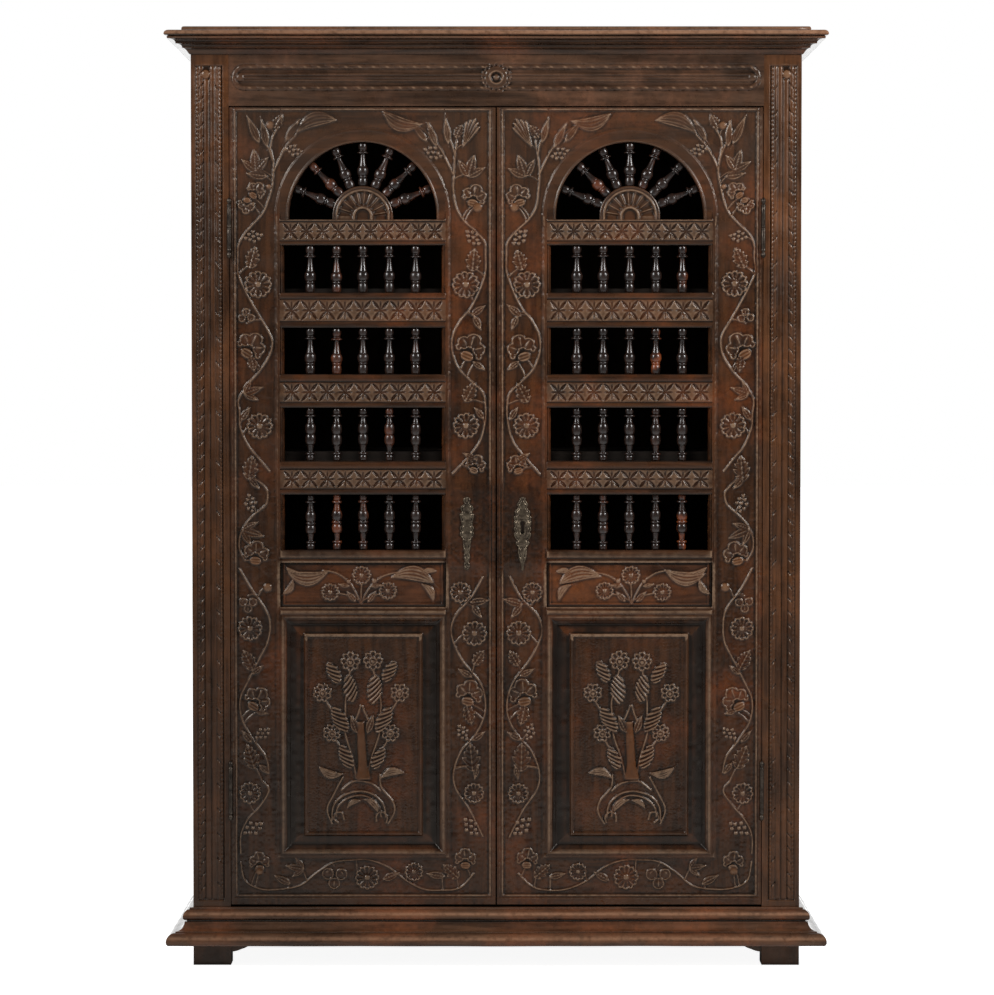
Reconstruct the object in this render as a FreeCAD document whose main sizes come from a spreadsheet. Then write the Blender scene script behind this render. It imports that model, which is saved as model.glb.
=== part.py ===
import FreeCAD, Part
import math
import os
import re
import Sketcher

# Two-door carved armoire with turned galleries in its doors
# Millimetres, +Z up, front faces -Y, origin on the floor under the middle of the whole

Vector = FreeCAD.Vector
Rotation = FreeCAD.Rotation
AXIS_X = Vector(1, 0, 0)
AXIS_Y = Vector(0, 1, 0)
AXIS_Z = Vector(0, 0, 1)
QUARTER_TURN = 90
HALF_TURN = 180
MITRE_ANGLE = 45

# The corners of a turned section stand half a side round from the X axis
CORNER_OFFSET = 0.5

# Driving sizes, by the piece that carries them
sizes = {
    # Case as a whole
    "case_width": 1295,
    "case_depth": 500,
    "case_height": 1988,
    "foot_height": 42.6,
    # Posts and their carved channel of ropes and reeds
    "post_width": 80,
    "front_post_depth": 55,
    "rear_post_depth": 50,
    "channel_depth": 8,
    "channel_edge": 11,
    "channel_rise": 13.4,
    "channel_top_drop": 69,
    "outer_rope_radius": 8,
    "inner_rope_radius": 6.5,
    "reed_radius": 6.4,
    # Frieze rail above the doors
    "stop_clearance": 1,
    "frieze_rail_height": 157,
    "frieze_band_height": 57,
    "frieze_band_drop": 68,
    "frieze_band_end": 6,
    "frieze_rope_radius": 5.5,
    "frieze_reed_radius": 3.1,
    "rosette_radius": 31,
    "rosette_ring_radius": 13,
    "rosette_step": 2,
    # Front rail under the doors
    "base_height": 82,
    # Top board
    "top_board_thickness": 12,
    "top_board_overhang": 10,
    # Cornice moulding
    "cornice_height": 48,
    "cornice_projection": 48,
    "cornice_lip": 3,
    "cornice_bed_height": 17,
    "cornice_bed_projection": 15,
    "cornice_step": 3,
    "cornice_cove_projection": 37,
    "cornice_nosing_height": 13,
    # Base moulding
    "base_projection": 51,
    "base_nosing_height": 27,
    "base_bead_height": 29,
    "base_cove_projection": 25,
    "base_bead_projection": 20,
    # Foot brackets
    "bracket_length": 42,
    "bracket_height": 21,
    "bracket_tip": 4,
    "bracket_thickness": 22,
    "bracket_setback": 6,
    # Side frames
    "side_rail_thickness": 26,
    "side_setback": 3,
    "side_rail_height": 96,
    "side_panel_thickness": 10,
    "groove_depth": 9,
    "groove_clearance": 0.5,
    # Back
    "back_rail_thickness": 24,
    "back_rail_height": 90,
    "back_board_thickness": 12,
    "back_board_gap": 0.6,
    # Shelves, bottom board and the cleats that carry them
    "shelf_thickness": 22,
    "shelf_setback": 32,
    "shelf_clearance": 0.5,
    "upper_shelf_rise": 10,
    "middle_shelf_rise": 19,
    "lower_shelf_drop": 110,
    "bottom_board_rise": 10,
    "bottom_board_thickness": 20,
    "cleat_width": 22,
    "cleat_height": 32,
    # Strip that stops the doors at the top
    "stop_strip_overlap": 11,
    "stop_strip_height": 36,
    "stop_strip_depth": 24,
    # Doors
    "door_thickness": 28,
    "door_bottom_gap": 5.4,
    "door_top_gap": 3,
    "door_side_gap": 1.5,
    "meeting_gap": 3,
    "stile_width": 107,
    "bottom_rail_height": 107,
    "panel_rail_height": 18,
    "frieze_panel_height": 92,
    "sill_rail_height": 28,
    "fourth_opening_height": 119,
    "fourth_rail_height": 71,
    "third_opening_height": 114,
    "third_rail_height": 71,
    "second_opening_height": 99,
    "second_rail_height": 74,
    "first_opening_height": 101,
    "first_rail_height": 54,
    "band_depth": 1.5,
    "band_end": 6,
    "rail_moulding_projection": 3,
    "rail_moulding_height": 9,
    # Arch head and its fan
    "spring_height": 7,
    "arch_side_margin": 18.25,
    "arch_top_margin": 73,
    "arch_band_width": 28,
    "arch_band_projection": 2.5,
    "hub_thickness": 22,
    "hub_rim_width": 9,
    "hub_recess": 5,
    "spindle_radius": 12,
    "fan_spindle_radius": 11.5,
    "spindle_seat_gap": 0.2,
    # Panels of the doors
    "frieze_panel_thickness": 18,
    "frieze_panel_setback": 4,
    "panel_moulding_width": 20,
    "panel_moulding_depth": 16,
    "panel_moulding_inner_depth": 3,
    "panel_setback": 13,
    "panel_thickness": 12,
    "panel_rise": 9,
    "panel_field_rise": 2,
    "field_inset_side": 49,
    "field_inset_end": 40,
    # Barrel hinges
    "barrel_radius": 4.5,
    "barrel_length": 50,
    "barrel_gap": 0.6,
    "barrel_standoff": 0.5,
    "leaf_thickness": 1.4,
    "leaf_depth": 22,
    "leaf_height": 36,
    "leaf_clearance": 0.2,
    "finial_length": 14,
    "finial_radius": 5,
    "pin_radius": 2.5,
    "pin_seat_clearance": 0.02,
    "pin_running_clearance": 0.05,
    "upper_hinge_drop": 255,
    "lower_hinge_rise": 244,
    # Escutcheons
    "escutcheon_length": 156,
    "escutcheon_thickness": 2.5,
    "escutcheon_rise": 28,
    "left_escutcheon_width": 32,
    "right_escutcheon_width": 40,
    "escutcheon_stile_inset": 56,
    "keyhole_radius": 4.2,
    "keyhole_slot_width": 5,
    "keyhole_length": 24,
    "keyhole_rise": 49,
    # Lock on the back of the right door
    "lock_width": 74,
    "lock_height": 120,
    "lock_thickness": 18,
    "lock_edge_setback": 3,
    "lock_bolt_length": 46,
    "lock_bolt_height": 22,
    "lock_bolt_thickness": 7,
    "lock_bolt_standoff": 5,
    "lock_bolt_travel": 18,
    "lock_bolt_recess": 0.5,
    "slide_clearance": 0.3,
    "keeper_lug": 9,
    "keeper_bridge": 3,
    # Slide bolts on the back of the left door
    "bolt_width": 14,
    "bolt_thickness": 6,
    "bolt_length": 190,
    "bolt_standoff": 5,
    "bolt_end_gap": 2,
    "bolt_travel": 20,
    "bolt_stile_inset": 48,
    "bolt_knob_radius": 5,
    "bolt_knob_length": 12,
    "guide_height": 12,
    "guide_side": 8,
    "guide_bridge": 3,
    "guide_inset": 22,
    # One overrun for every cut
    "overrun": 5,
}
back_board_count = 7
spindle_sides = 8
fan_spindle_sides = 6
barrel_sides = 8
hub_sides = 24
spindle_row_count = 5
fan_spindle_count = 7
rail_band_share = 0.58
spindle_pitch_share = 0.16
hub_radius_share = 0.4076
side_middle_share = 0.4527

# Turned profiles: height and radius as shares of a spindle's length and radius
short_spindle_shares = (
    (0.0, 0.62), (0.10, 0.84), (0.20, 0.50), (0.30, 1.0),
    (0.70, 0.44), (0.79, 1.0), (0.90, 0.78), (1.0, 0.55),
)
tall_spindle_shares = (
    (0.0, 0.70), (0.12, 0.48), (0.19, 1.0), (0.30, 0.46), (0.44, 0.94), (0.53, 0.50),
    (0.62, 1.0), (0.83, 0.44), (1.0, 0.90),
)
ringed_spindle_shares = (
    (0.0, 0.70), (0.13, 0.46), (0.28, 0.98), (0.42, 0.50), (0.50, 1.0), (0.58, 0.50),
    (0.72, 0.98), (0.87, 0.44), (1.0, 0.85),
)
finial_shares = ((0.0, 0.55), (0.45, 1.0), (1.0, 0.25))
hub_shell_shares = ((0.0, 1.0), (0.55, 0.72), (1.0, 0.30))
# Outline of an escutcheon from its tip up: height and half width as shares of its length and width
escutcheon_shares = (
    (-0.50, 0.06), (-0.47, 0.14), (-0.42, 0.10), (-0.34, 0.18), (-0.26, 0.16), (-0.18, 0.30),
    (-0.10, 0.38), (-0.02, 0.46), (0.08, 0.50), (0.16, 0.44), (0.24, 0.47), (0.32, 0.30),
    (0.36, 0.36), (0.42, 0.16), (0.47, 0.17), (0.50, 0.08),
)

# Places worked out from the sizes
FRONT = "(base_projection - (case_depth + base_projection) / 2)"
BACK = "((case_depth + base_projection) / 2)"
HALF_WIDTH = "(case_width / 2)"
POST_INNER = "(case_width / 2 - post_width)"
BACK_BOARD_FRONT = f"({BACK} - back_board_thickness)"
BACK_RAIL_FRONT = f"({BACK_BOARD_FRONT} - back_rail_thickness)"
BASE_TOP = "(foot_height + base_height)"
CHANNEL_BOTTOM = f"({BASE_TOP} + channel_rise)"
DOOR_BOTTOM = f"({BASE_TOP} + door_bottom_gap)"
BOARD_TOP = f"({DOOR_BOTTOM} + bottom_board_rise)"
BOARD_BOTTOM = f"({BOARD_TOP} - bottom_board_thickness)"
SIDE_INNER = f"({HALF_WIDTH} - side_setback - side_rail_thickness)"
POST_BACK = f"({FRONT} + front_post_depth)"
REAR_POST_FRONT = f"({BACK} - rear_post_depth)"
RAIL_THICKNESS = "(door_thickness + stop_clearance)"
DOOR_BACK = f"({FRONT} + door_thickness)"
RAIL_BACK = f"({FRONT} + {RAIL_THICKNESS})"
FRIEZE_BOTTOM = "(case_height - frieze_rail_height)"
SIDE_MIDDLE = f"(case_height * {side_middle_share})"
DOOR_TOP = f"({FRIEZE_BOTTOM} - door_top_gap)"
STOP_BOTTOM = f"({DOOR_TOP} - stop_strip_overlap)"
DOOR_OUTER = f"({POST_INNER} - door_side_gap)"
DOOR_INNER = "(meeting_gap / 2)"
COLUMN_OUTER = f"({DOOR_OUTER} - stile_width)"
COLUMN_INNER = f"({DOOR_INNER} + stile_width)"
COLUMN_WIDTH = f"({COLUMN_OUTER} - {COLUMN_INNER})"
COLUMN_MIDDLE = f"(({COLUMN_OUTER} + {COLUMN_INNER}) / 2)"
ARCH_RADIUS = f"({COLUMN_WIDTH} / 2 - arch_side_margin)"
HUB_RADIUS = f"({ARCH_RADIUS} * {hub_radius_share})"
SPINDLE_PITCH = f"({COLUMN_WIDTH} * {spindle_pitch_share})"
SPRING_LINE = f"({DOOR_TOP} - arch_top_margin - {ARCH_RADIUS})"
HEAD_BOTTOM = f"({SPRING_LINE} - spring_height)"
FIRST_RAIL = f"({HEAD_BOTTOM} - first_rail_height)"
FIRST_OPENING = f"({FIRST_RAIL} - first_opening_height)"
SECOND_RAIL = f"({FIRST_OPENING} - second_rail_height)"
SECOND_OPENING = f"({SECOND_RAIL} - second_opening_height)"
THIRD_RAIL = f"({SECOND_OPENING} - third_rail_height)"
THIRD_OPENING = f"({THIRD_RAIL} - third_opening_height)"
FOURTH_RAIL = f"({THIRD_OPENING} - fourth_rail_height)"
FOURTH_OPENING = f"({FOURTH_RAIL} - fourth_opening_height)"
SILL_BOTTOM = f"({FOURTH_OPENING} - sill_rail_height)"
FRIEZE_PANEL_BOTTOM = f"({SILL_BOTTOM} - frieze_panel_height)"
PANEL_TOP = f"({FRIEZE_PANEL_BOTTOM} - panel_rail_height)"
PANEL_BOTTOM = f"({DOOR_BOTTOM} + bottom_rail_height)"
PANEL_HEIGHT = f"({PANEL_TOP} - {PANEL_BOTTOM})"
SHELF_TOPS = {
    "lower": f"({PANEL_TOP} - lower_shelf_drop)",
    "middle": f"({THIRD_OPENING} + middle_shelf_rise)",
    "upper": f"({FIRST_OPENING} + upper_shelf_rise)",
}
SPINDLE_LINE = f"({FRONT} + door_thickness / 2)"
HINGE_X = f"({POST_INNER} - door_side_gap / 2)"
HINGE_Y = f"({FRONT} - barrel_radius - barrel_standoff)"
HINGE_MIDDLES = {
    "lower_hinge": f"({DOOR_BOTTOM} + lower_hinge_rise)",
    "upper_hinge": f"({DOOR_TOP} - upper_hinge_drop)",
}
PIN_HALF = "(barrel_length - pin_radius)"
PANEL_INSET = "(side_setback + (side_rail_thickness - side_panel_thickness) / 2)"
BOLT_X = f"({DOOR_INNER} + bolt_stile_inset)"
ESCUTCHEON_X = f"({DOOR_INNER} + escutcheon_stile_inset)"
ESCUTCHEON_MIDDLE = f"({FOURTH_OPENING} + escutcheon_rise)"
KEYHOLE_HEIGHT = f"({FOURTH_OPENING} + keyhole_rise)"

doc = FreeCAD.newDocument("carved_armoire")
sheet = doc.addObject("Spreadsheet::Sheet", "Sizes")
for row, (alias, number) in enumerate(sizes.items(), start=1):
    sheet.set(f"A{row}", alias)
    sheet.set(f"B{row}", str(number))
    sheet.setAlias(f"B{row}", alias)
doc.recompute()
nodes = []


# Expressions on the sheet

def on_sheet(text):
    """The same expression with every size read from the sheet."""
    return re.sub(r"[a-z_]+", lambda word: f"Sizes.{word[0]}" if word[0] in sizes else word[0], text)


def value(text):
    """The number that an expression gives now."""
    return float(sheet.evalExpression(on_sheet(text)))


def bind(item, **expressions):
    """Ties properties to expressions; x, y and z are the item's place."""
    for name, text in expressions.items():
        path = f"Placement.Base.{name}" if name in ("x", "y", "z") else name
        item.setExpression(path, on_sheet(text))
    return item


# Pieces and how they are put together

def box(name, x, y, z, width, depth, height):
    item = doc.addObject("Part::Box", name)
    return bind(item, x=x, y=y, z=z, Length=width, Width=depth, Height=height)


def rod(name, x, y, z, radius, length, turn=None):
    """A cylinder from (x, y, z) along Z, or along the way that turn gives."""
    item = doc.addObject("Part::Cylinder", name)
    if turn:
        item.Placement.Rotation = turn
    return bind(item, x=x, y=y, z=z, Radius=radius, Height=length)


def bar(name, x, y, z, radius, length, sides, turn=None):
    """A many-sided bar from (x, y, z) along Z, or along the way that turn gives."""
    item = doc.addObject("Part::Prism", name)
    item.Polygon = sides
    flat = Rotation(AXIS_Z, HALF_TURN / sides)
    item.Placement.Rotation = turn.multiply(flat) if turn else flat
    return bind(item, x=x, y=y, z=z, Circumradius=radius, Height=length)


def fuse(name, *pieces):
    item = doc.addObject("Part::MultiFuse", name)
    item.Shapes = list(pieces)
    item.Refine = True
    return item


def cut(name, base, *tools):
    item = doc.addObject("Part::Cut", name)
    item.Base = base
    item.Tool = tools[0] if len(tools) == 1 else group(f"{name}_voids", *tools)
    item.Refine = True
    return item


def common(name, first, second):
    item = doc.addObject("Part::Common", name)
    item.Base = first
    item.Tool = second
    return item


def group(name, *pieces):
    item = doc.addObject("Part::Compound", name)
    item.Links = list(pieces)
    return item


def mirror(name, source):
    """The same piece on the other side of the middle."""
    item = doc.addObject("Part::Mirroring", name)
    item.Source = source
    item.Normal = AXIS_X
    return item


def node(item, label):
    """Takes an item as a finished sub-part under its own label."""
    item.Label = label
    nodes.append(item)
    return item


def both_doors(item, name):
    """Takes a left door's piece, and its mirror image for the right door."""
    node(item, f"left_door_{name}")
    node(mirror(f"right_{name}_mirror", item), f"right_door_{name}")


TO_RIGHT = Rotation(AXIS_Y, QUARTER_TURN)
TO_BACK = Rotation(AXIS_X, -QUARTER_TURN)
TO_FRONT = Rotation(AXIS_X, QUARTER_TURN)


# Outlines

def arc_centre(start, end, centre_u):
    """Centre of the circle through two points, at a given place across."""
    rise = 2 * (end[1] - start[1])
    squares = end[0] ** 2 - start[0] ** 2 + end[1] ** 2 - start[1] ** 2
    return centre_u, (squares - 2 * centre_u * (end[0] - start[0])) / rise


def outline(name, points):
    """A closed sketch; a point with a centre and a turn starts an arc."""
    sketch = doc.addObject("Sketcher::SketchObject", name)
    places = [(value(point[0]), value(point[1])) for point in points]
    ends = []
    for index, point in enumerate(points):
        start = places[index]
        end = places[(index + 1) % len(points)]
        if len(point) == 2:
            sketch.addGeometry(Part.LineSegment(Vector(*start, 0), Vector(*end, 0)))
            ends.append((1, 2))
            continue
        centre = arc_centre(start, end, value(point[2]))
        radius = math.dist(centre, start)
        first, last = (start, end) if point[3] > 0 else (end, start)
        angles = [math.atan2(place[1] - centre[1], place[0] - centre[0]) for place in (first, last)]
        circle = Part.Circle(Vector(*centre, 0), AXIS_Z, radius)
        sketch.addGeometry(Part.ArcOfCircle(circle, angles[0], angles[1]))
        ends.append((1, 2) if point[3] > 0 else (2, 1))
    for index, point in enumerate(points):
        following = (index + 1) % len(points)
        sketch.addConstraint(
            Sketcher.Constraint("Coincident", index, ends[index][1], following, ends[following][0]))
        place_vertex(sketch, index, ends[index][0], point)
    return sketch


def place_vertex(sketch, index, end, point):
    """Ties one corner, and the centre of the arc that starts there, to the sheet."""
    ties = [("DistanceX", end, point[0]), ("DistanceY", end, point[1])]
    if len(point) > 2:
        ties.append(("DistanceX", 3, point[2]))
    for kind, spot, text in ties:
        if text == "0":
            axis = -2 if kind == "DistanceX" else -1
            sketch.addConstraint(Sketcher.Constraint("PointOnObject", index, spot, axis))
            continue
        tie = sketch.addConstraint(Sketcher.Constraint(kind, -1, 1, index, spot, value(text)))
        sketch.setExpression(f"Constraints[{tie}]", on_sheet(text))


def extrude(name, sketch, direction, length):
    item = doc.addObject("Part::Extrusion", name)
    item.Base = sketch
    item.DirMode = "Custom"
    item.Dir = direction
    item.Solid = True
    return bind(item, LengthFwd=length)


def moulding_run(name, points, facing, start, z, length, direction):
    """A moulding whose profile faces one way and runs another."""
    sketch = outline(f"{name}_profile", points)
    sketch.Placement.Rotation = facing
    bind(sketch, x=start[0], y=start[1], z=z)
    return extrude(name, sketch, direction, length)


def mitre_cutter(name, x, y, z, reach, height, sweep):
    """A box turned by the mitre angle, whose near face is the mitre."""
    item = box(name, x, y, f"{z} - overrun", f"4 * {reach}", f"4 * {reach}", f"{height} + 2 * overrun")
    item.Placement.Rotation = Rotation(AXIS_Z, sweep)
    return item


def mitred_set(name, points, reach, z, height):
    """A front moulding and its two returns, mitred at the front corners."""
    front_facing = Rotation(Vector(0, -1, 0), AXIS_Z, Vector(-1, 0, 0), "XYZ")
    side_facing = Rotation(Vector(-1, 0, 0), AXIS_Z, AXIS_Y, "XYZ")
    run = moulding_run(
        f"{name}_front_run", points, front_facing, (f"-{HALF_WIDTH} - {reach}", FRONT), z,
        f"case_width + 2 * {reach}", AXIS_X)
    left_end = mitre_cutter(
        f"{name}_front_mitre", f"-{HALF_WIDTH}", FRONT, z, reach, height, HALF_TURN - MITRE_ANGLE)
    front = cut(f"{name}_front_piece", run, left_end, mirror(f"{name}_front_mitre_right", left_end))
    node(front, f"{name}_front")
    side_run = moulding_run(
        f"{name}_side_run", points, side_facing, (f"-{HALF_WIDTH}", f"{FRONT} - {reach}"), z,
        f"case_depth + {reach}", AXIS_Y)
    side_end = mitre_cutter(
        f"{name}_side_mitre", f"-{HALF_WIDTH}", FRONT, z, reach, height, MITRE_ANGLE - HALF_TURN)
    side = cut(f"{name}_left_return", side_run, side_end)
    node(group(f"{name}_return_pair", side, mirror(f"{name}_right_return", side)), f"{name}_returns")
    return front


# Case

def front_post():
    """The left front post, with the channel of ropes and reeds down its face."""
    block = box("post_block", f"-{HALF_WIDTH}", FRONT, "0", "post_width", "front_post_depth", "case_height")
    height = f"(case_height - channel_top_drop - {CHANNEL_BOTTOM})"
    width = "(2 * (outer_rope_radius + 2 * reed_radius + inner_rope_radius))"
    channel = box(
        "post_channel", f"-{HALF_WIDTH} + channel_edge", f"{FRONT} - overrun", CHANNEL_BOTTOM,
        width, "channel_depth + overrun", height)
    grooved = cut(
        "post_grooved", block, channel, *leaf_gains("post", f"-{POST_INNER} - leaf_thickness", "case"),
        *panel_grooves("front_post", f"{POST_BACK} - groove_depth"))
    rods = []
    across = "channel_edge"
    for name in ("outer_rope", "reed", "reed", "inner_rope"):
        radius = f"{name}_radius"
        rods.append(bar(
            f"post_{name}", f"-{HALF_WIDTH} + {across} + {radius}", f"{FRONT} + channel_depth",
            CHANNEL_BOTTOM, radius, height, spindle_sides))
        across = f"{across} + 2 * {radius}"
    return fuse("front_post_left_piece", grooved, *rods)


def panel_grooves(name, y):
    """Grooves of one post for the edges of both side panels."""
    grooves = []
    for span, (bottom, top) in side_panel_spans().items():
        grooves.append(box(
            f"{name}_{span}_groove", f"-{HALF_WIDTH} + {PANEL_INSET}", y, f"{bottom} - groove_depth",
            "side_panel_thickness", "groove_depth + overrun", f"{top} - {bottom} + 2 * groove_depth"))
    return grooves


def side_rail_bottoms():
    top = "(case_height - side_rail_height)"
    return {"bottom": "foot_height", "middle": SIDE_MIDDLE, "top": top}


def side_panel_spans():
    """The heights that each side panel shows between its rails."""
    rails = side_rail_bottoms()
    return {
        "lower": (f"({rails['bottom']} + side_rail_height)", rails["middle"]),
        "upper": (f"({rails['middle']} + side_rail_height)", rails["top"]),
    }


def rear_post():
    block = box(
        "rear_post_block", f"-{HALF_WIDTH}", f"{BACK} - rear_post_depth", "0",
        "post_width", "rear_post_depth", "case_height")
    return cut(
        "rear_post_left_piece", block,
        *panel_grooves("rear_post", f"{BACK} - rear_post_depth - overrun"))


def side_frame():
    """Rails and panels of the left side, and the same on the right."""
    span_start = POST_BACK
    span = "(case_depth - front_post_depth - rear_post_depth)"
    rails = []
    for place, bottom in side_rail_bottoms().items():
        rail = box(
            f"side_{place}_block", f"-{HALF_WIDTH} + side_setback", span_start, bottom,
            "side_rail_thickness", span, "side_rail_height")
        grooves = []
        for edge, used in (("upper", place != "top"), ("lower", place != "bottom")):
            if not used:
                continue
            z = f"{bottom} - overrun"
            if edge == "upper":
                z = f"{bottom} + side_rail_height - groove_depth"
            grooves.append(box(
                f"side_{place}_{edge}_groove", f"-{HALF_WIDTH} + {PANEL_INSET}", f"{span_start} - overrun", z,
                "side_panel_thickness", f"{span} + 2 * overrun", "groove_depth + overrun"))
        rails.append(cut(f"side_{place}_rail", rail, *grooves))
    panels = []
    hold = "(groove_depth - groove_clearance)"
    for place, (bottom, top) in side_panel_spans().items():
        panels.append(box(
            f"side_{place}_panel", f"-{HALF_WIDTH} + {PANEL_INSET}", f"{span_start} - {hold}",
            f"{bottom} - {hold}", "side_panel_thickness", f"{span} + 2 * {hold}",
            f"{top} - {bottom} + 2 * {hold}"))
    for kind, pieces in (("rails", rails), ("panels", panels)):
        twins = [mirror(f"{piece.Name}_right", piece) for piece in pieces]
        node(group(f"side_{kind}_set", *pieces, *twins), f"side_{kind}")


def frieze_rail():
    """The rail over the doors, with its sunk band of ropes and reeds and the rosette."""
    block = box(
        "frieze_block", f"-{POST_INNER}", FRONT, FRIEZE_BOTTOM, f"2 * {POST_INNER}", RAIL_THICKNESS,
        "frieze_rail_height")
    band_top = "(case_height - frieze_band_drop)"
    length = f"(2 * ({POST_INNER} - frieze_band_end))"
    left = f"-{POST_INNER} + frieze_band_end"
    sunk = box(
        "frieze_band", left, f"{FRONT} - overrun", f"{band_top} - frieze_band_height", length,
        "frieze_rope_radius + overrun", "frieze_band_height")
    middle = f"({band_top} - frieze_band_height / 2)"
    rope_offset = "(frieze_band_height / 2 - frieze_rope_radius)"
    lines = [
        ("top_rope", f"{middle} + {rope_offset}", "frieze_rope_radius"),
        ("bottom_rope", f"{middle} - {rope_offset}", "frieze_rope_radius"),
        ("top_reed", f"{middle} + 2 * frieze_reed_radius", "frieze_reed_radius"),
        ("middle_reed", middle, "frieze_reed_radius"),
        ("bottom_reed", f"{middle} - 2 * frieze_reed_radius", "frieze_reed_radius"),
    ]
    floor = f"{FRONT} + frieze_rope_radius"
    rods = [
        bar(f"frieze_{name}", left, floor, z, radius, length, spindle_sides, TO_RIGHT)
        for name, z, radius in lines]
    disc = bar(
        "frieze_rosette_disc", "0", f"{FRONT} - rosette_step", middle, "rosette_radius",
        "rosette_step + frieze_rope_radius", hub_sides, TO_BACK)
    ring = bar(
        "frieze_rosette_ring", "0", f"{FRONT} - 2 * rosette_step", middle, "rosette_ring_radius",
        "rosette_step", hub_sides, TO_BACK)
    return fuse("frieze_rail_piece", cut("frieze_sunk", block, sunk), *rods, disc, ring)


def case_boards():
    """Back, bottom and top boards, and the strip behind the frieze."""
    back_rails = []
    heights = {
        "bottom": ("foot_height", f"({BOARD_BOTTOM} - foot_height)"),
        "top": ("(case_height - back_rail_height)", "back_rail_height"),
    }
    for place, (z, height) in heights.items():
        back_rails.append(box(
            f"back_{place}_rail", f"-{POST_INNER}", BACK_RAIL_FRONT, z, f"2 * {POST_INNER}",
            "back_rail_thickness", height))
    node(group("back_rail_set", *back_rails), "back_rails")
    pitch = f"(2 * {POST_INNER} / {back_board_count})"
    boards = []
    for index in range(back_board_count):
        boards.append(box(
            f"back_board_{index + 1}", f"-{POST_INNER} + {index} * {pitch} + back_board_gap / 2",
            BACK_BOARD_FRONT, "foot_height", f"{pitch} - back_board_gap", "back_board_thickness",
            "case_height - foot_height"))
    node(group("back_board_set", *boards), "back_boards")
    strip = box(
        "stop_block", f"-{POST_INNER}", RAIL_BACK, STOP_BOTTOM, f"2 * {POST_INNER}",
        "stop_strip_depth", "stop_strip_height")
    hole = bolt_hole("stop_strip_hole", f"{STOP_BOTTOM} - overrun", "bolt_travel + 2 * overrun")
    node(cut("door_stop_piece", strip, hole), "door_stop_strip")
    top_front = f"({FRONT} - top_board_overhang)"
    top = box(
        "top_board_piece", f"-{HALF_WIDTH} - top_board_overhang", top_front, "case_height",
        "case_width + 2 * top_board_overhang", f"{BACK} - {top_front}", "top_board_thickness")
    node(top, "top_board")


def notched_board(name, front, bottom, thickness):
    """A board that fills the case from side to side and is cut out round the posts."""
    narrow = box(
        f"{name}_tongue", f"-{POST_INNER}", front, bottom, f"2 * {POST_INNER}",
        f"{BACK_BOARD_FRONT} - {front}", thickness)
    wide_front = POST_BACK if front == RAIL_BACK else front
    wide = box(
        f"{name}_wings", f"-{SIDE_INNER} + shelf_clearance", wide_front, bottom,
        f"2 * ({SIDE_INNER} - shelf_clearance)", f"{REAR_POST_FRONT} - {wide_front}", thickness)
    return fuse(name, narrow, wide)


def shelving():
    """The bottom board and three shelves, each on a pair of cleats between the posts."""
    bottom = notched_board("bottom_boards", RAIL_BACK, BOARD_BOTTOM, "bottom_board_thickness")
    hole = bolt_hole("bottom_board_hole", f"{BOARD_BOTTOM} - overrun", "bottom_board_thickness + 2 * overrun")
    node(cut("bottom_board_piece", bottom, hole), "bottom_board")
    shelf_front = f"({DOOR_BACK} + shelf_setback)"
    undersides = {"bottom": BOARD_BOTTOM}
    shelves = []
    for place, top in SHELF_TOPS.items():
        undersides[place] = f"({top} - shelf_thickness)"
        shelves.append(notched_board(f"{place}_shelf", shelf_front, undersides[place], "shelf_thickness"))
    node(group("shelf_set", *shelves), "shelves")
    cleats = []
    for place, underside in undersides.items():
        cleat = box(
            f"{place}_cleat", f"-{SIDE_INNER}", POST_BACK, f"{underside} - cleat_height", "cleat_width",
            f"{REAR_POST_FRONT} - {POST_BACK}", "cleat_height")
        cleats.extend((cleat, mirror(f"{place}_cleat_right", cleat)))
    node(group("cleat_set", *cleats), "shelf_cleats")


def foot_bracket():
    """The small hollowed bracket on the inner side of the left foot."""
    points = [
        ("0", "-bracket_height"), ("bracket_tip", "-bracket_height", "bracket_length", -1),
        ("bracket_length", "-bracket_tip"), ("bracket_length", "0"), ("0", "0")]
    sketch = outline("bracket_outline", points)
    sketch.Placement.Rotation = TO_FRONT
    bind(sketch, x=f"-{POST_INNER}", y=f"{FRONT} + bracket_setback", z="foot_height")
    return extrude("left_bracket", sketch, AXIS_Y, "bracket_thickness")


def cornice_points():
    radius = "cornice_nosing_height / 2"
    return [
        ("0", "0"), ("cornice_lip", "0", "cornice_bed_projection", -1),
        ("cornice_bed_projection", "cornice_bed_height"),
        ("cornice_bed_projection + cornice_step", "cornice_bed_height", "cornice_cove_projection", -1),
        ("cornice_cove_projection", "cornice_height - cornice_nosing_height"),
        (f"cornice_projection - {radius}", "cornice_height - cornice_nosing_height",
         f"cornice_projection - {radius}", 1),
        (f"cornice_projection - {radius}", "cornice_height"), ("0", "cornice_height")]


def base_points():
    nosing = "base_projection - base_nosing_height / 2"
    bead_bottom = "base_height - base_bead_height"
    bead_centre = "base_bead_projection - base_bead_height / 2"
    return [
        ("0", "0"), (nosing, "0", nosing, 1), (nosing, "base_nosing_height", nosing, -1),
        ("base_cove_projection", bead_bottom), (bead_centre, bead_bottom, bead_centre, 1),
        (bead_centre, "base_height"), ("0", "base_height")]


# Hinges

def leaf_gains(name, x, owner):
    """Shallow seats for the hinge leaves in the edge of a post or a stile."""
    gains = []
    for place, middle in HINGE_MIDDLES.items():
        bottom = f"{leaf_bottom(middle, owner)} - leaf_clearance"
        gains.append(box(
            f"{name}_{place}_gain", x, f"{FRONT} - overrun", bottom, "leaf_thickness",
            "leaf_depth + overrun + leaf_clearance", "leaf_height + 2 * leaf_clearance"))
    return gains


def leaf_bottom(middle, owner):
    """The case holds the lower half of a hinge, the door the upper half."""
    margin = "(barrel_length - leaf_height) / 2"
    if owner == "case":
        return f"({middle} - barrel_gap / 2 - barrel_length + {margin})"
    return f"({middle} + barrel_gap / 2 + {margin})"


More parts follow.
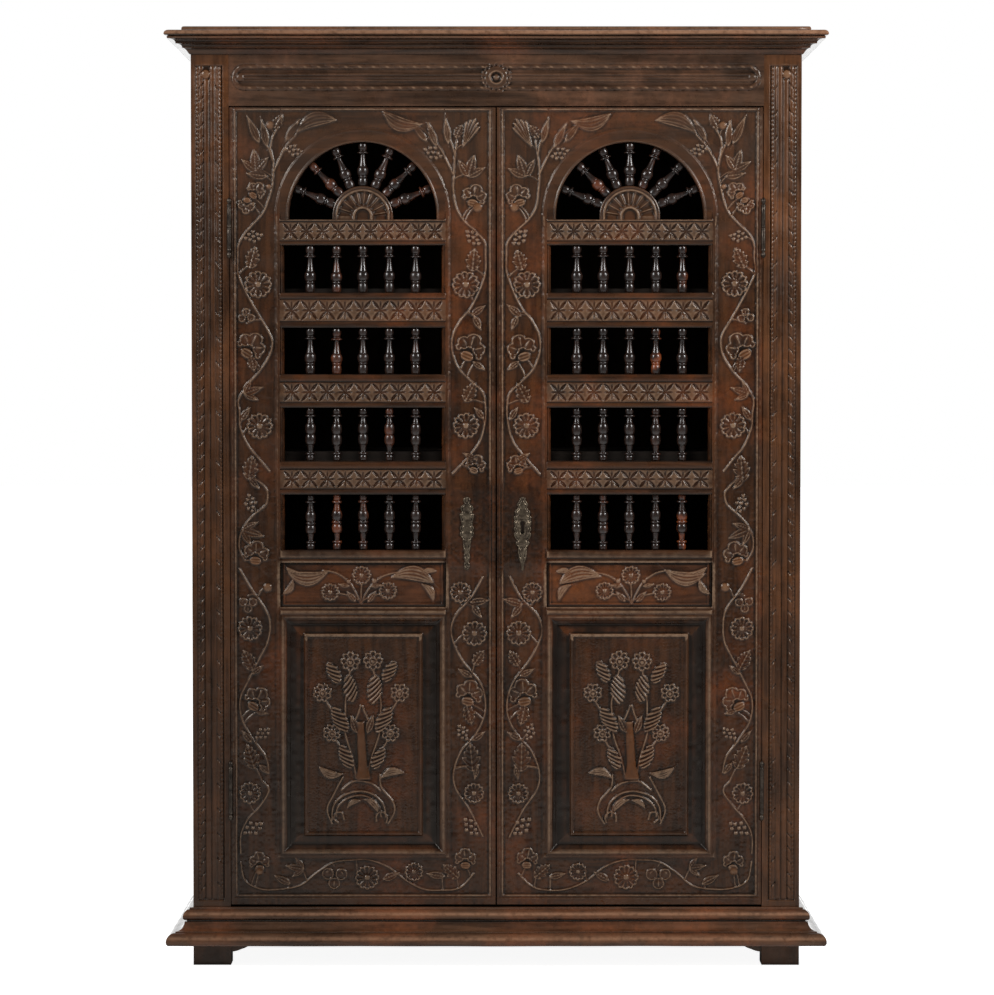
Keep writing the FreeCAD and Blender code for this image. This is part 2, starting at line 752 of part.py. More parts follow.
def knuckle(place, owner):
    """One barrel with its finial and the leaf that fixes it."""
    name = f"{owner}_{place}"
    middle = HINGE_MIDDLES[place]
    bottom = f"({middle} + barrel_gap / 2)"
    clearance = "pin_running_clearance"
    tip = f"{bottom} + barrel_length"
    tip_turn = None
    leaf_x = f"-{POST_INNER} + door_side_gap"
    if owner == "case":
        bottom = f"({middle} - barrel_gap / 2 - barrel_length)"
        clearance = "pin_seat_clearance"
        tip = bottom
        tip_turn = Rotation(AXIS_X, HALF_TURN)
        leaf_x = f"-{POST_INNER} - leaf_thickness"
    barrel = bar(
        f"{name}_barrel", f"-{HINGE_X}", HINGE_Y, bottom, "barrel_radius", "barrel_length", barrel_sides)
    finial_shape = turned_shape(
        finial_shares, value("finial_length"), value("finial_radius"), spindle_sides)
    finial = turned(f"{name}_finial", finial_shape, f"-{HINGE_X}", HINGE_Y, tip, tip_turn)
    leaf = box(
        f"{name}_leaf", leaf_x, HINGE_Y, leaf_bottom(middle, owner), "leaf_thickness",
        "barrel_radius + barrel_standoff + leaf_depth", "leaf_height")
    solid = fuse(f"{name}_solid", barrel, finial, leaf)
    bore_start = f"({middle} - {PIN_HALF})"
    bore = rod(
        f"{name}_bore", f"-{HINGE_X}", HINGE_Y, f"{bore_start} - barrel_gap",
        f"pin_radius + {clearance}", f"2 * ({PIN_HALF} + barrel_gap)")
    return cut(f"{name}_knuckle", solid, bore)


def hinges():
    pins = []
    case_knuckles = []
    door_knuckles = []
    for place, middle in HINGE_MIDDLES.items():
        pins.append(rod(
            f"{place}_pin", f"-{HINGE_X}", HINGE_Y, f"{middle} - {PIN_HALF}", "pin_radius",
            f"2 * {PIN_HALF}"))
        case_knuckles.append(knuckle(place, "case"))
        door_knuckles.append(knuckle(place, "door"))
    for name, pieces in (("hinge_pins", pins), ("case_hinge_knuckles", case_knuckles)):
        twins = [mirror(f"{piece.Name}_right", piece) for piece in pieces]
        node(group(f"{name}_set", *pieces, *twins), name)
    both_doors(group("door_knuckle_pair", *door_knuckles), "hinge_knuckles")


# Turned work

def turned_shape(shares, length, radius, sides):
    """A turned solid whose rounds are flat-sided: the ruled loft through all its sections."""
    rings = []
    for height_share, radius_share in shares:
        ring = []
        for corner in range(sides):
            angle = math.tau * (corner + CORNER_OFFSET) / sides
            across = radius * radius_share
            ring.append(Vector(across * math.cos(angle), across * math.sin(angle), length * height_share))
        rings.append(ring)
    faces = [Part.Face(Part.makePolygon(ring + ring[:1])) for ring in (rings[0][::-1], rings[-1])]
    for lower, upper in zip(rings, rings[1:]):
        for corner in range(sides):
            following = (corner + 1) % sides
            corners = [lower[corner], lower[following], upper[following], upper[corner]]
            faces.append(Part.Face(Part.makePolygon(corners + corners[:1])))
    return Part.Solid(Part.Shell(faces))


def turned(name, shape, x, y, z, turn=None):
    """A turned piece that stands at (x, y, z), or leans the way that turn gives."""
    item = doc.addObject("Part::Feature", name)
    item.Shape = shape
    item.Placement = FreeCAD.Placement(Vector(0, 0, 0), turn or Rotation())
    return bind(item, x=x, y=y, z=z)


def gallery_spindles():
    """Four rows of five spindles in the openings of the left door."""
    rows = {
        "fourth": (FOURTH_OPENING, ringed_spindle_shares),
        "third": (THIRD_OPENING, tall_spindle_shares),
        "second": (SECOND_OPENING, short_spindle_shares),
        "first": (FIRST_OPENING, short_spindle_shares),
    }
    spindles = []
    for row, (bottom, shares) in rows.items():
        length = f"({row}_opening_height - 2 * spindle_seat_gap)"
        shape = turned_shape(shares, value(length), value("spindle_radius"), spindle_sides)
        for index in range(spindle_row_count):
            place = index - (spindle_row_count - 1) / 2
            spindles.append(turned(
                f"{row}_spindle_{index + 1}", shape, f"-{COLUMN_MIDDLE} + {place} * {SPINDLE_PITCH}",
                SPINDLE_LINE, f"{bottom} + spindle_seat_gap"))
    return group("gallery_spindle_set", *spindles)


def fan_spindles():
    """Seven spindles from the hub to the arch of the left door."""
    length = f"({ARCH_RADIUS} - {HUB_RADIUS} - 2 * spindle_seat_gap)"
    shape = turned_shape(short_spindle_shares, value(length), value("fan_spindle_radius"), fan_spindle_sides)
    start = f"({HUB_RADIUS} + spindle_seat_gap)"
    spindles = []
    for place in range(1, fan_spindle_count + 1):
        angle = place * HALF_TURN / (fan_spindle_count + 1)
        lean = Rotation(AXIS_Y, QUARTER_TURN - angle)
        spindles.append(turned(
            f"fan_spindle_{place}", shape, f"-{COLUMN_MIDDLE} + {start} * cos({angle})", SPINDLE_LINE,
            f"{SPRING_LINE} + {start} * sin({angle})", lean))
    return group("fan_spindle_set", *spindles)


# Doors

def door_board(name, bottom, height, front=FRONT, thickness="door_thickness"):
    """A board across the column of the left door."""
    return box(name, f"-{COLUMN_OUTER}", front, bottom, COLUMN_WIDTH, thickness, height)


def banded_rail(name, bottom, height):
    """A rail with a shallow sunk band for its chip carving."""
    rail = door_board(f"{name}_block", bottom, height)
    band = box(
        f"{name}_band", f"-{COLUMN_OUTER} + band_end", f"{FRONT} - overrun",
        f"{bottom} + {height} * {(1 - rail_band_share) / 2}", f"{COLUMN_WIDTH} - 2 * band_end",
        "band_depth + overrun", f"{height} * {rail_band_share}")
    return cut(f"{name}_rail", rail, band)


def moulded_rail(name, bottom, height, at_top):
    """A plain rail with a small moulding proud along one edge."""
    rail = door_board(f"{name}_block", bottom, height)
    z = f"{bottom} + {height} - rail_moulding_height" if at_top else bottom
    proud = door_board(
        f"{name}_moulding", z, "rail_moulding_height", f"{FRONT} - rail_moulding_projection",
        "rail_moulding_projection")
    return fuse(f"{name}_piece", rail, proud)


def door_stiles():
    height = f"{DOOR_TOP} - {DOOR_BOTTOM}"
    hinge = box(
        "hinge_stile_block", f"-{DOOR_OUTER}", FRONT, DOOR_BOTTOM, "stile_width", "door_thickness", height)
    hinge = cut("hinge_stile_piece", hinge, *leaf_gains("stile", f"-{DOOR_OUTER}", "door"))
    both_doors(hinge, "hinge_stile")
    lock = box(
        "lock_stile_block", f"-{COLUMN_INNER}", FRONT, DOOR_BOTTOM, "stile_width", "door_thickness", height)
    node(lock, "left_door_lock_stile")
    twin = mirror("lock_stile_mirror", lock)
    keyway = keyhole("stile_keyhole", f"{FRONT} - overrun", "door_thickness + 2 * overrun")
    node(cut("right_lock_stile_piece", twin, keyway), "right_door_lock_stile")


def arch_head():
    """The solid head board with its round-arched opening and the raised band round it."""
    head_height = f"({DOOR_TOP} - {HEAD_BOTTOM})"
    block = door_board("arch_block", HEAD_BOTTOM, head_height)
    outer = rod(
        "arch_band_disc", f"-{COLUMN_MIDDLE}", f"{FRONT} - arch_band_projection", SPRING_LINE,
        f"{ARCH_RADIUS} + arch_band_width", "arch_band_projection", TO_BACK)
    face = door_board(
        "arch_band_limit", HEAD_BOTTOM, head_height, f"{FRONT} - arch_band_projection",
        "arch_band_projection")
    band = common("arch_band", outer, face)
    through = f"{FRONT} - arch_band_projection - overrun"
    run = "(arch_band_projection + door_thickness + 2 * overrun)"
    hole = rod("arch_hole", f"-{COLUMN_MIDDLE}", through, SPRING_LINE, ARCH_RADIUS, run, TO_BACK)
    foot = box(
        "arch_foot_hole", f"-{COLUMN_MIDDLE} - {ARCH_RADIUS}", through, f"{HEAD_BOTTOM} - overrun",
        f"2 * {ARCH_RADIUS}", run, "spring_height + overrun")
    return cut("arch_head_piece", fuse("arch_banded", block, band), fuse("arch_opening", hole, foot))


def fan_hub():
    """The half-round hub of the fan: a rim round a sunk, raised shell."""
    front = f"({SPINDLE_LINE} - hub_thickness / 2)"
    disc = bar(
        "hub_disc", f"-{COLUMN_MIDDLE}", front, SPRING_LINE, HUB_RADIUS, "hub_thickness", hub_sides,
        TO_BACK)
    inner_radius = f"({HUB_RADIUS} - hub_rim_width)"
    recess = bar(
        "hub_recess", f"-{COLUMN_MIDDLE}", f"{front} - overrun", SPRING_LINE, inner_radius,
        "hub_recess + overrun", hub_sides, TO_BACK)
    shell_shape = turned_shape(hub_shell_shares, value("hub_recess"), value(inner_radius), hub_sides)
    shell = turned(
        "hub_shell", shell_shape, f"-{COLUMN_MIDDLE}", f"{front} + hub_recess", SPRING_LINE, TO_FRONT)
    whole = fuse("hub_round", cut("hub_sunk", disc, recess), shell)
    limit = box(
        "hub_limit", f"-{COLUMN_MIDDLE} - {HUB_RADIUS}", f"{front} - overrun", HEAD_BOTTOM,
        f"2 * {HUB_RADIUS}", "hub_thickness + 2 * overrun", f"spring_height + {HUB_RADIUS}")
    return common("fan_hub_piece", whole, limit)


def lower_panel():
    """The raised and fielded panel, with its bevel as a wedge."""
    back = door_board(
        "panel_back", PANEL_BOTTOM, PANEL_HEIGHT, f"{FRONT} + panel_setback", "panel_thickness")
    bevel = doc.addObject("Part::Wedge", "panel_bevel")
    bevel.Placement.Rotation = Rotation(AXIS_Z, HALF_TURN)
    bind(
        bevel, x=f"-{COLUMN_INNER}", y=f"{FRONT} + panel_setback", z=PANEL_BOTTOM,
        Xmin="panel_moulding_width", Xmax=f"{COLUMN_WIDTH} - panel_moulding_width",
        Zmin="panel_moulding_width", Zmax=f"{PANEL_HEIGHT} - panel_moulding_width",
        X2min="field_inset_side", X2max=f"{COLUMN_WIDTH} - field_inset_side",
        Z2min="field_inset_end", Z2max=f"{PANEL_HEIGHT} - field_inset_end",
        Ymin="0", Ymax="panel_rise")
    field = box(
        "panel_field", f"-{COLUMN_OUTER} + field_inset_side",
        f"{FRONT} + panel_setback - panel_rise - panel_field_rise", f"{PANEL_BOTTOM} + field_inset_end",
        f"{COLUMN_WIDTH} - 2 * field_inset_side", "panel_field_rise + panel_rise",
        f"{PANEL_HEIGHT} - 2 * field_inset_end")
    return fuse("lower_panel_piece", back, bevel, field)


def panel_moulding():
    """Four mitred strips round the panel, each a wedge that falls inward."""
    left = f"-{COLUMN_OUTER}"
    right = f"-{COLUMN_INNER}"
    places = {
        "bottom": (left, PANEL_BOTTOM, COLUMN_WIDTH, 0),
        "right": (right, PANEL_BOTTOM, PANEL_HEIGHT, -QUARTER_TURN),
        "top": (right, PANEL_TOP, COLUMN_WIDTH, HALF_TURN),
        "left": (left, PANEL_TOP, PANEL_HEIGHT, QUARTER_TURN),
    }
    strips = []
    for name, (x, z, length, turn) in places.items():
        strip = doc.addObject("Part::Wedge", f"panel_moulding_{name}")
        strip.Placement.Rotation = Rotation(AXIS_Y, turn).multiply(TO_FRONT)
        bind(
            strip, x=x, y=f"{FRONT} + panel_setback", z=z, Xmin="0", Xmax=length, Ymin="0",
            Ymax="panel_moulding_width", Zmin="0", Zmax="panel_moulding_depth",
            X2min="panel_moulding_width", X2max=f"{length} - panel_moulding_width", Z2min="0",
            Z2max="panel_moulding_inner_depth")
        strips.append(strip)
    return group("panel_moulding_set", *strips)


def door_fillings():
    """Rails, panels and turned work between the stiles of both doors."""
    rails = [
        banded_rail("first", FIRST_RAIL, "first_rail_height"),
        banded_rail("second", SECOND_RAIL, "second_rail_height"),
        banded_rail("third", THIRD_RAIL, "third_rail_height"),
        banded_rail("fourth", FOURTH_RAIL, "fourth_rail_height"),
    ]
    both_doors(group("gallery_rail_set", *rails), "gallery_rails")
    both_doors(arch_head(), "arch_head")
    both_doors(fan_hub(), "fan_hub")
    both_doors(fan_spindles(), "fan_spindles")
    both_doors(gallery_spindles(), "gallery_spindles")
    both_doors(moulded_rail("sill", SILL_BOTTOM, "sill_rail_height", True), "sill_rail")
    panel_front = f"{FRONT} + frieze_panel_setback"
    both_doors(
        door_board("frieze_panel_piece", FRIEZE_PANEL_BOTTOM, "frieze_panel_height", panel_front,
                   "frieze_panel_thickness"), "frieze_panel")
    both_doors(moulded_rail("panel_rail", PANEL_TOP, "panel_rail_height", False), "panel_rail")
    both_doors(lower_panel(), "lower_panel")
    both_doors(panel_moulding(), "panel_moulding")
    both_doors(banded_rail("bottom", DOOR_BOTTOM, "bottom_rail_height"), "bottom_rail")


# Escutcheons, lock and bolts

def escutcheon(name, side, width):
    """A long plate whose outline swells and narrows like a baluster."""
    right_edge = [
        (f"{width} * {across}", f"escutcheon_length * {height}") for height, across in escutcheon_shares]
    left_edge = [(f"-{across}", height) for across, height in reversed(right_edge)]
    sketch = outline(f"{name}_outline", right_edge + left_edge)
    sketch.Placement.Rotation = TO_FRONT
    bind(sketch, x=f"{side} * {ESCUTCHEON_X}", y=FRONT, z=ESCUTCHEON_MIDDLE)
    return extrude(f"{name}_plate", sketch, -AXIS_Y, "escutcheon_thickness")


def keyhole(name, y, depth):
    """A round key hole with its slot below, in the right door."""
    slot_width = "keyhole_slot_width"
    eye = bar(
        f"{name}_eye", ESCUTCHEON_X, y, f"{KEYHOLE_HEIGHT} + keyhole_length / 2 - keyhole_radius",
        "keyhole_radius", depth, spindle_sides, TO_BACK)
    slot = box(
        f"{name}_slot", f"{ESCUTCHEON_X} - {slot_width} / 2", y, f"{KEYHOLE_HEIGHT} - keyhole_length / 2",
        slot_width, depth, "keyhole_length - keyhole_radius")
    return fuse(name, eye, slot)


def bolt_hole(name, bottom, height):
    """The hole that takes the end of a slide bolt."""
    left = f"-{BOLT_X} - bolt_width / 2 - slide_clearance"
    return box(
        name, left, f"{DOOR_BACK} + bolt_standoff - slide_clearance", bottom,
        "bolt_width + 2 * slide_clearance", "bolt_thickness + 2 * slide_clearance", height)


def slide_bolt(name, bottom):
    blade = box(
        f"{name}_bar", f"-{BOLT_X} - bolt_width / 2", f"{DOOR_BACK} + bolt_standoff", bottom,
        "bolt_width", "bolt_thickness", "bolt_length")
    knob = bar(
        f"{name}_knob", f"-{BOLT_X}", f"{DOOR_BACK} + bolt_standoff + bolt_thickness",
        f"{bottom} + bolt_length / 2", "bolt_knob_radius", "bolt_knob_length", barrel_sides, TO_BACK)
    return fuse(f"{name}_piece", blade, knob)


def bolt_guides(bottoms):
    """Two staples round each slide bolt."""
    guides = []
    for name, bottom in bottoms.items():
        for end, z in (
                ("lower", f"{bottom} + guide_inset"),
                ("upper", f"{bottom} + bolt_length - guide_inset - guide_height")):
            staple = box(
                f"{name}_{end}_staple", f"-{BOLT_X} - bolt_width / 2 - guide_side", DOOR_BACK, z,
                "bolt_width + 2 * guide_side",
                "bolt_standoff + bolt_thickness + slide_clearance + guide_bridge", "guide_height")
            slot = box(
                f"{name}_{end}_slot", f"-{BOLT_X} - bolt_width / 2 - slide_clearance",
                f"{DOOR_BACK} + bolt_standoff - slide_clearance", f"{z} - overrun",
                "bolt_width + 2 * slide_clearance", "bolt_thickness + 2 * slide_clearance",
                "guide_height + 2 * overrun")
            guides.append(cut(f"{name}_{end}_guide", staple, slot))
    return group("bolt_guide_set", *guides)


def lock():
    """Rim lock of the right door, its bolt and the keeper on the left door."""
    lock_left = f"({DOOR_INNER} + lock_edge_setback)"
    case = box(
        "lock_block", lock_left, DOOR_BACK, f"{KEYHOLE_HEIGHT} - lock_height / 2", "lock_width",
        "lock_thickness", "lock_height")
    bolt_bottom = f"({KEYHOLE_HEIGHT} - lock_bolt_height / 2)"
    bolt_front = f"({DOOR_BACK} + lock_bolt_standoff)"
    slot = box(
        "lock_slot", f"{lock_left} - overrun", f"{bolt_front} - slide_clearance",
        f"{bolt_bottom} - slide_clearance", "lock_bolt_length + lock_bolt_recess + slide_clearance + overrun",
        "lock_bolt_thickness + 2 * slide_clearance", "lock_bolt_height + 2 * slide_clearance")
    keyway = keyhole("lock_keyhole", f"{DOOR_BACK} - overrun", "lock_bolt_standoff + overrun")
    node(cut("lock_case_piece", case, slot, keyway), "lock_case")
    bolt = box(
        "lock_bolt_piece", f"{lock_left} + lock_bolt_recess", bolt_front, bolt_bottom,
        "lock_bolt_length", "lock_bolt_thickness", "lock_bolt_height")
    node(bolt, "lock_bolt")
    keeper_left = f"(-{lock_left} - lock_bolt_travel)"
    depth = "(lock_bolt_standoff + lock_bolt_thickness + slide_clearance + keeper_bridge)"
    keeper = box(
        "keeper_block", keeper_left, DOOR_BACK, f"{bolt_bottom} - slide_clearance - keeper_lug",
        "lock_bolt_travel", depth, "lock_bolt_height + 2 * (slide_clearance + keeper_lug)")
    mouth = box(
        "keeper_mouth", f"{keeper_left} - overrun", f"{DOOR_BACK} - overrun",
        f"{bolt_bottom} - slide_clearance", "lock_bolt_travel + 2 * overrun",
        f"{depth} - keeper_bridge + overrun", "lock_bolt_height + 2 * slide_clearance")
    node(cut("lock_keeper_piece", keeper, mouth), "lock_keeper")


def door_hardware():
    node(escutcheon("left_escutcheon", -1, "left_escutcheon_width"), "left_door_escutcheon")
    plate = escutcheon("right_escutcheon", 1, "right_escutcheon_width")
    opening = keyhole("plate_keyhole", f"{FRONT} - escutcheon_thickness - overrun",
                      "escutcheon_thickness + 2 * overrun")
    node(cut("right_escutcheon_piece", plate, opening), "right_door_escutcheon")
    lock()
    bottoms = {
        "upper_bolt": f"({STOP_BOTTOM} - bolt_end_gap - bolt_length)",
        "lower_bolt": f"({BOARD_TOP} + bolt_end_gap)",
    }
    for name, bottom in bottoms.items():
        node(slide_bolt(name, bottom), name)
    node(bolt_guides(bottoms), "bolt_guides")


def build_case():
    post = node(front_post(), "front_post_left")
    node(mirror("front_post_right_piece", post), "front_post_right")
    rear = node(rear_post(), "rear_post_left")
    node(mirror("rear_post_right_piece", rear), "rear_post_right")
    side_frame()
    node(frieze_rail(), "frieze_rail")
    front_rail = box(
        "front_bottom_block", f"-{POST_INNER}", FRONT, "foot_height", f"2 * {POST_INNER}",
        RAIL_THICKNESS, "base_height")
    node(front_rail, "front_bottom_rail")
    bracket = foot_bracket()
    node(group("bracket_pair", bracket, mirror("right_bracket", bracket)), "foot_brackets")
    case_boards()
    shelving()
    cornice_bottom = "(case_height - cornice_height)"
    mitred_set("cornice", cornice_points(), "cornice_projection", cornice_bottom, "cornice_height")
    mitred_set("base_moulding", base_points(), "base_projection", "foot_height", "base_height")


def build_doors():
    door_stiles()
    door_fillings()
    door_hardware()


def check_and_write():
    """Stops on any failed object, then writes one file for each sub-part."""
    doc.recompute()
    failed = [item.Name for item in doc.Objects if {"Invalid", "Error"} & set(item.State)]
    if failed:
        raise RuntimeError(f"failed objects: {failed}")
    for item in nodes:
        shape = item.Shape
        if shape.isNull() or not shape.isValid() or not shape.Solids:
            raise RuntimeError(f"bad shape: {item.Label}")
    os.makedirs("parts", exist_ok=True)
    for item in nodes:
        item.Shape.exportStep(os.path.join("parts", f"{item.Label}.step"))
        print(item.Label, len(item.Shape.Solids), "solids", round(item.Shape.Volume), "mm3")
    print(len(nodes), "sub-parts")


build_case()
hinges()
build_doors()
check_and_write()
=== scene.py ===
from math import cos, pi, radians, sin

import bpy
import numpy as np
from numpy import (arctan2, array, concatenate, hypot, interp, linspace, maximum, minimum, reshape, stack,
                   vstack, where)
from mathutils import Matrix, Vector


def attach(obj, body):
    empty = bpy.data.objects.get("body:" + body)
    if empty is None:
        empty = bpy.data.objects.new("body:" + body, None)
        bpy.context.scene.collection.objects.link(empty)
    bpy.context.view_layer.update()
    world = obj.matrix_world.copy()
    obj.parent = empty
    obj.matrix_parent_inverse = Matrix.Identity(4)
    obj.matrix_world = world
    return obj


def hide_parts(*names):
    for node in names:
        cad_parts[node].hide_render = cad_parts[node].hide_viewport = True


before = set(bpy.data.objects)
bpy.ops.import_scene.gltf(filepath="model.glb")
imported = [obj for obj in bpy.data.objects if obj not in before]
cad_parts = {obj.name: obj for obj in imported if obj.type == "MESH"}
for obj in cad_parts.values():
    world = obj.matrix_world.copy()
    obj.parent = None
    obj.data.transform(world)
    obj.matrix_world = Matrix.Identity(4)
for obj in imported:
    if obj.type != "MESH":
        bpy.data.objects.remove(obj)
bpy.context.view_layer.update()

scene = bpy.context.scene

# Sizes in millimetres, as in the part. The left door is built here, the right one is its mirror image.
FRONT, BACK = -224.5, 275.5
DOOR_BACK, THIN_BACK, TABLET_BACK, BEAD_BACK = -196.5, -199.5, -202.5, -199.0
POST_BACK, FRIEZE_BACK = -169.5, -195.5
HALF_WIDTH, POST_INNER, CASE_TOP = 647.5, 567.5, 1988
DOOR_OUTER, DOOR_INNER, DOOR_BOTTOM, DOOR_TOP = -566.0, -1.5, 130.0, 1828.0
LEFT, RIGHT, MIDDLE = -459.0, -108.5, -283.75
PANEL_BOTTOM, PANEL_TOP, TABLET_BOTTOM, SILL_BOTTOM, SILL_TOP = 237, 750, 768, 860, 888
SPRING, ARCH_RADIUS, BAND_RADIUS, HUB_RADIUS = 1598.0, 157.0, 185.0, 64.0
# Gallery rails: bottom, top, bottom and top of the chip-cut band, number of stars
RAILS = ((1007, 1078, 1020, 1059, 9), (1192, 1263, 1204, 1245, 9), (1362, 1436, 1376, 1421, 9),
         (1537, 1591, 1547, 1585, 10))
OPENINGS = ((888, 1007), (1078, 1192), (1263, 1362), (1436, 1537))
SPINDLE_Y, SPINDLE_PITCH = -210.5, 56.08
HINGE_X, HINGE_Y, HINGE_HEIGHTS = 566.75, -229.5, (374, 1573)
BASE_BOTTOM, CORNICE_BOTTOM, TOP_OVERHANG = 42.6, 1940, 18
FRIEZE_BOTTOM, FRIEZE_MIDDLE = 1831, 1891.5
PLATE_BOTTOM, PLATE_LENGTH, KEYHOLE_HEIGHT = 844.5, 158, 944.8

# Carving on the left door: stems as chains of x and z, motifs as kind, x, z, size and turn
def chains(*flat):
    return [reshape(chain, (-1, 2)) for chain in flat]


def motifs(text):
    return [(kind, *map(float, values)) for kind, *values in map(str.split, text.split(","))]


STEMS = chains(
    (-479, 1743, -474, 1717, -472, 1691, -475, 1661, -483, 1631, -495, 1605, -516, 1581, -537, 1558, -548,
     1534, -549, 1508, -549, 1478, -537, 1448, -517, 1411, -501, 1383, -482, 1351, -477, 1329, -482, 1302,
     -503, 1269, -529, 1241, -547, 1209, -546, 1179, -544, 1149, -528, 1112, -506, 1086, -483, 1057),
    (-513, 1039, -495, 1024, -486, 1007, -492, 985, -515, 964, -536, 940, -546, 916, -546, 888, -535, 865),
    (-546, 849, -523, 805, -492, 762, -483, 731, -488, 692, -504, 658, -531, 605, -546, 567, -541, 524,
     -517, 483, -491, 446, -484, 413),
    (-498, 393, -485, 374, -506, 340, -530, 312, -545, 278, -547, 239),
    (-83, 1754, -88, 1728, -91, 1687, -90, 1650, -84, 1616, -69, 1590, -43, 1566, -25, 1542, -22, 1515, -22,
     1478, -35, 1441, -54, 1403, -74, 1379, -91, 1347, -94, 1314, -82, 1278, -56, 1250, -30, 1224, -22,
     1194, -24, 1160, -36, 1119, -62, 1084, -92, 1050),
    (-28, 832, -52, 789, -88, 748, -96, 709, -74, 656, -38, 610, -25, 577, -25, 538, -43, 495, -76, 456,
     -91, 413, -86, 374, -57, 331, -28, 275),
    (-547, 220, -536, 181, -507, 164, -468, 161, -420, 170, -386, 197, -347, 220, -308, 226, -270, 224,
     -231, 209, -193, 181, -154, 163, -115, 161, -77, 167, -48, 196),
    (-472, 1695, -460, 1721, -445, 1747, -423, 1771),
    (-474, 1717, -482, 1740, -495, 1764),
    (-479, 1743, -474, 1764, -465, 1783),
    (-91, 1687, -102, 1710, -118, 1740, -139, 1764),
    (-88, 1728, -94, 1751, -105, 1773),
)
MOTIFS = motifs("""
    lotus -512 1715 23 100, flower -509 1652 20 60, flower -530 1620 18 -100, berry -483 1661 5.2 0,
    berries -515 1556 16.4 15, lobed -517 1510 22 70, rosette -506 1454 26 0, trefoil -530 1386 19 90,
    flower -519 1323 31 60, lobed -518 1284 16 -80, spray -516 1228 21 20, leaf -533 1179 17 62,
    rosette -503 1153 25 0, lobed -522 1063 25 80, leaf -515 1030 15 -50, berries -522 989 17 -70,
    spray -516 923 25 -20, flower -510 882 26 80, berry -488 808 8.6 0, trefoil -529 774 21 -90,
    rosette -524 721 24 0, lobed -529 654 22 120, leaf -508 632 14 40, flower -509 569 29 60,
    leaf -500 541 13 -10, leaf -533 490 16 130, berries -499 497 15 45, lobed -524 446 25 110,
    leaf -495 420 14 -50, rosette -526 368 21 0, berries -519 293 20 40, lotus -54 1704 23 75,
    flower -45 1642 26 80, berry -39 1618 9 0, berries -50 1553 18 -40, lobed -49 1506 22 80,
    rosette -65 1452 27 0, leaf -37 1398 18 35, leaf -39 1372 16 -65, flower -53 1319 30 70,
    leaf -36 1280 15 -40, lobed -56 1224 21 60, leaf -37 1180 15 125, rosette -65 1153 25 0,
    flower -44 1071 21 70, leaf -58 1088 15 150, rosette -77 798 20 0, leaf -35 778 20 10,
    leaf -42 757 17 -55, rosette -47 710 24 0, lobed -38 658 18 60, leaf -66 626 16 150,
    flower -57 584 29 75, lobed -57 535 20 -80, berries -71 499 16 -60, leaf -38 490 16 35,
    lobed -53 446 28 95, leaf -43 412 15 -100, rosette -47 368 20 0, berries -54 297 20 -45,
    flower -506 222 23 90, berry -507 200 8 0, spray -432 210 20 170, leaf -458 182 19 150,
    trefoil -346 190 27 -90, rosette -277 187 24 0, leaf -224 190 19 25, rosette -175 200 18 0,
    leaf -130 192 18 170, lobed -98 200 20 140, flower -66 228 23 95, lily -517 1782 31 118,
    lily -493 1775 28 100, leaf -508 1685 21 170, berry -480 1790 8 0, lobed -462 1798 15 60,
    lily -430 1783 27 62, wing -385 1797 44 14, berries -429 1738 16 0, frond -58 1774 34 64,
    lily -105 1781 28 100, lobed -80 1777 15 60, lily -137 1772 27 112, lily -163 1777 26 125,
    wing -200 1797 42 166, berries -135 1732 17 -20""")
TABLET_STEMS = chains(
    (-288, 772, -298, 793, -314, 820, -340, 839, -369, 845),
    (-288, 772, -280, 791, -262, 817, -238, 834, -209, 841),
    (-288, 772, -288, 798, -287, 820),
    (-288, 779, -313, 791, -336, 796),
    (-288, 779, -262, 791, -240, 796),
)
TABLET_MOTIFS = motifs("""
    rosette -287 834 20 0, rosette -354 798 19 0, rosette -231 801 19 0, wing -400 832 44 186,
    wing -178 834 46 -6, wing -143 801 22 -52, wing -441 808 20 238, wing -432 842 18 165,
    wing -146 842 18 12, leaf -309 789 15 130, leaf -265 789 15 50, berry -260 822 5.8 0,
    berry -315 821 4.8 0, leaf -325 813 12.5 170, leaf -255 812 12.5 10""")
PANEL_STEMS = chains(
    (-303, 516, -295, 538, -288, 556, -280, 540, -271, 520),
    (-328, 402, -348, 364, -361, 334, -351, 303),
    (-248, 407, -245, 380, -221, 350, -218, 327, -231, 303),
    (-330, 375, -308, 392, -288, 394, -265, 388, -247, 373),
    (-351, 310, -348, 340, -331, 360, -308, 370, -285, 372, -261, 364, -241, 343, -236, 317),
    (-342, 318, -339, 337, -324, 353, -306, 361, -285, 363, -265, 355, -250, 338, -246, 318),
    (-325, 312, -330, 326, -342, 326, -347, 314, -338, 305),
    (-235, 305, -233, 318, -244, 328, -255, 322, -256, 308),
    (-299, 400, -306, 440, -318, 480, -326, 510),
    (-276, 400, -268, 440, -254, 480, -246, 510),
    (-318, 500, -322, 560, -312, 630),
    (-256, 500, -246, 560, -262, 630),
    (-330, 528, -352, 548, -366, 570),
    (-240, 528, -222, 548, -209, 570),
    (-318, 448, -334, 470, -346, 486),
    (-256, 446, -240, 468, -230, 486),
)
PANEL_MOTIFS = motifs("""
    comb_back -312 592 29 96, comb_back -260 590 31 84, comb -334 526 30 118, comb_back -240 525 30 62,
    comb -321 446 27 116, comb_back -252 443 25 64, bloom -311 650 21 90, bloom -263 652 21 90,
    bloom -371 583 20 110, bloom -206 583 20 70, bloom -351 497 19 110, bloom -226 497 19 70,
    comb -347 626 25 118, comb_back -228 629 25 62, wing -354 411 27 168, wing -224 411 26 12,
    wing -306 347 17 30, wing -265 345 21 -38, vase -287 459 62 90, leaf -304 516 20 112,
    leaf -269 516 20 68""")

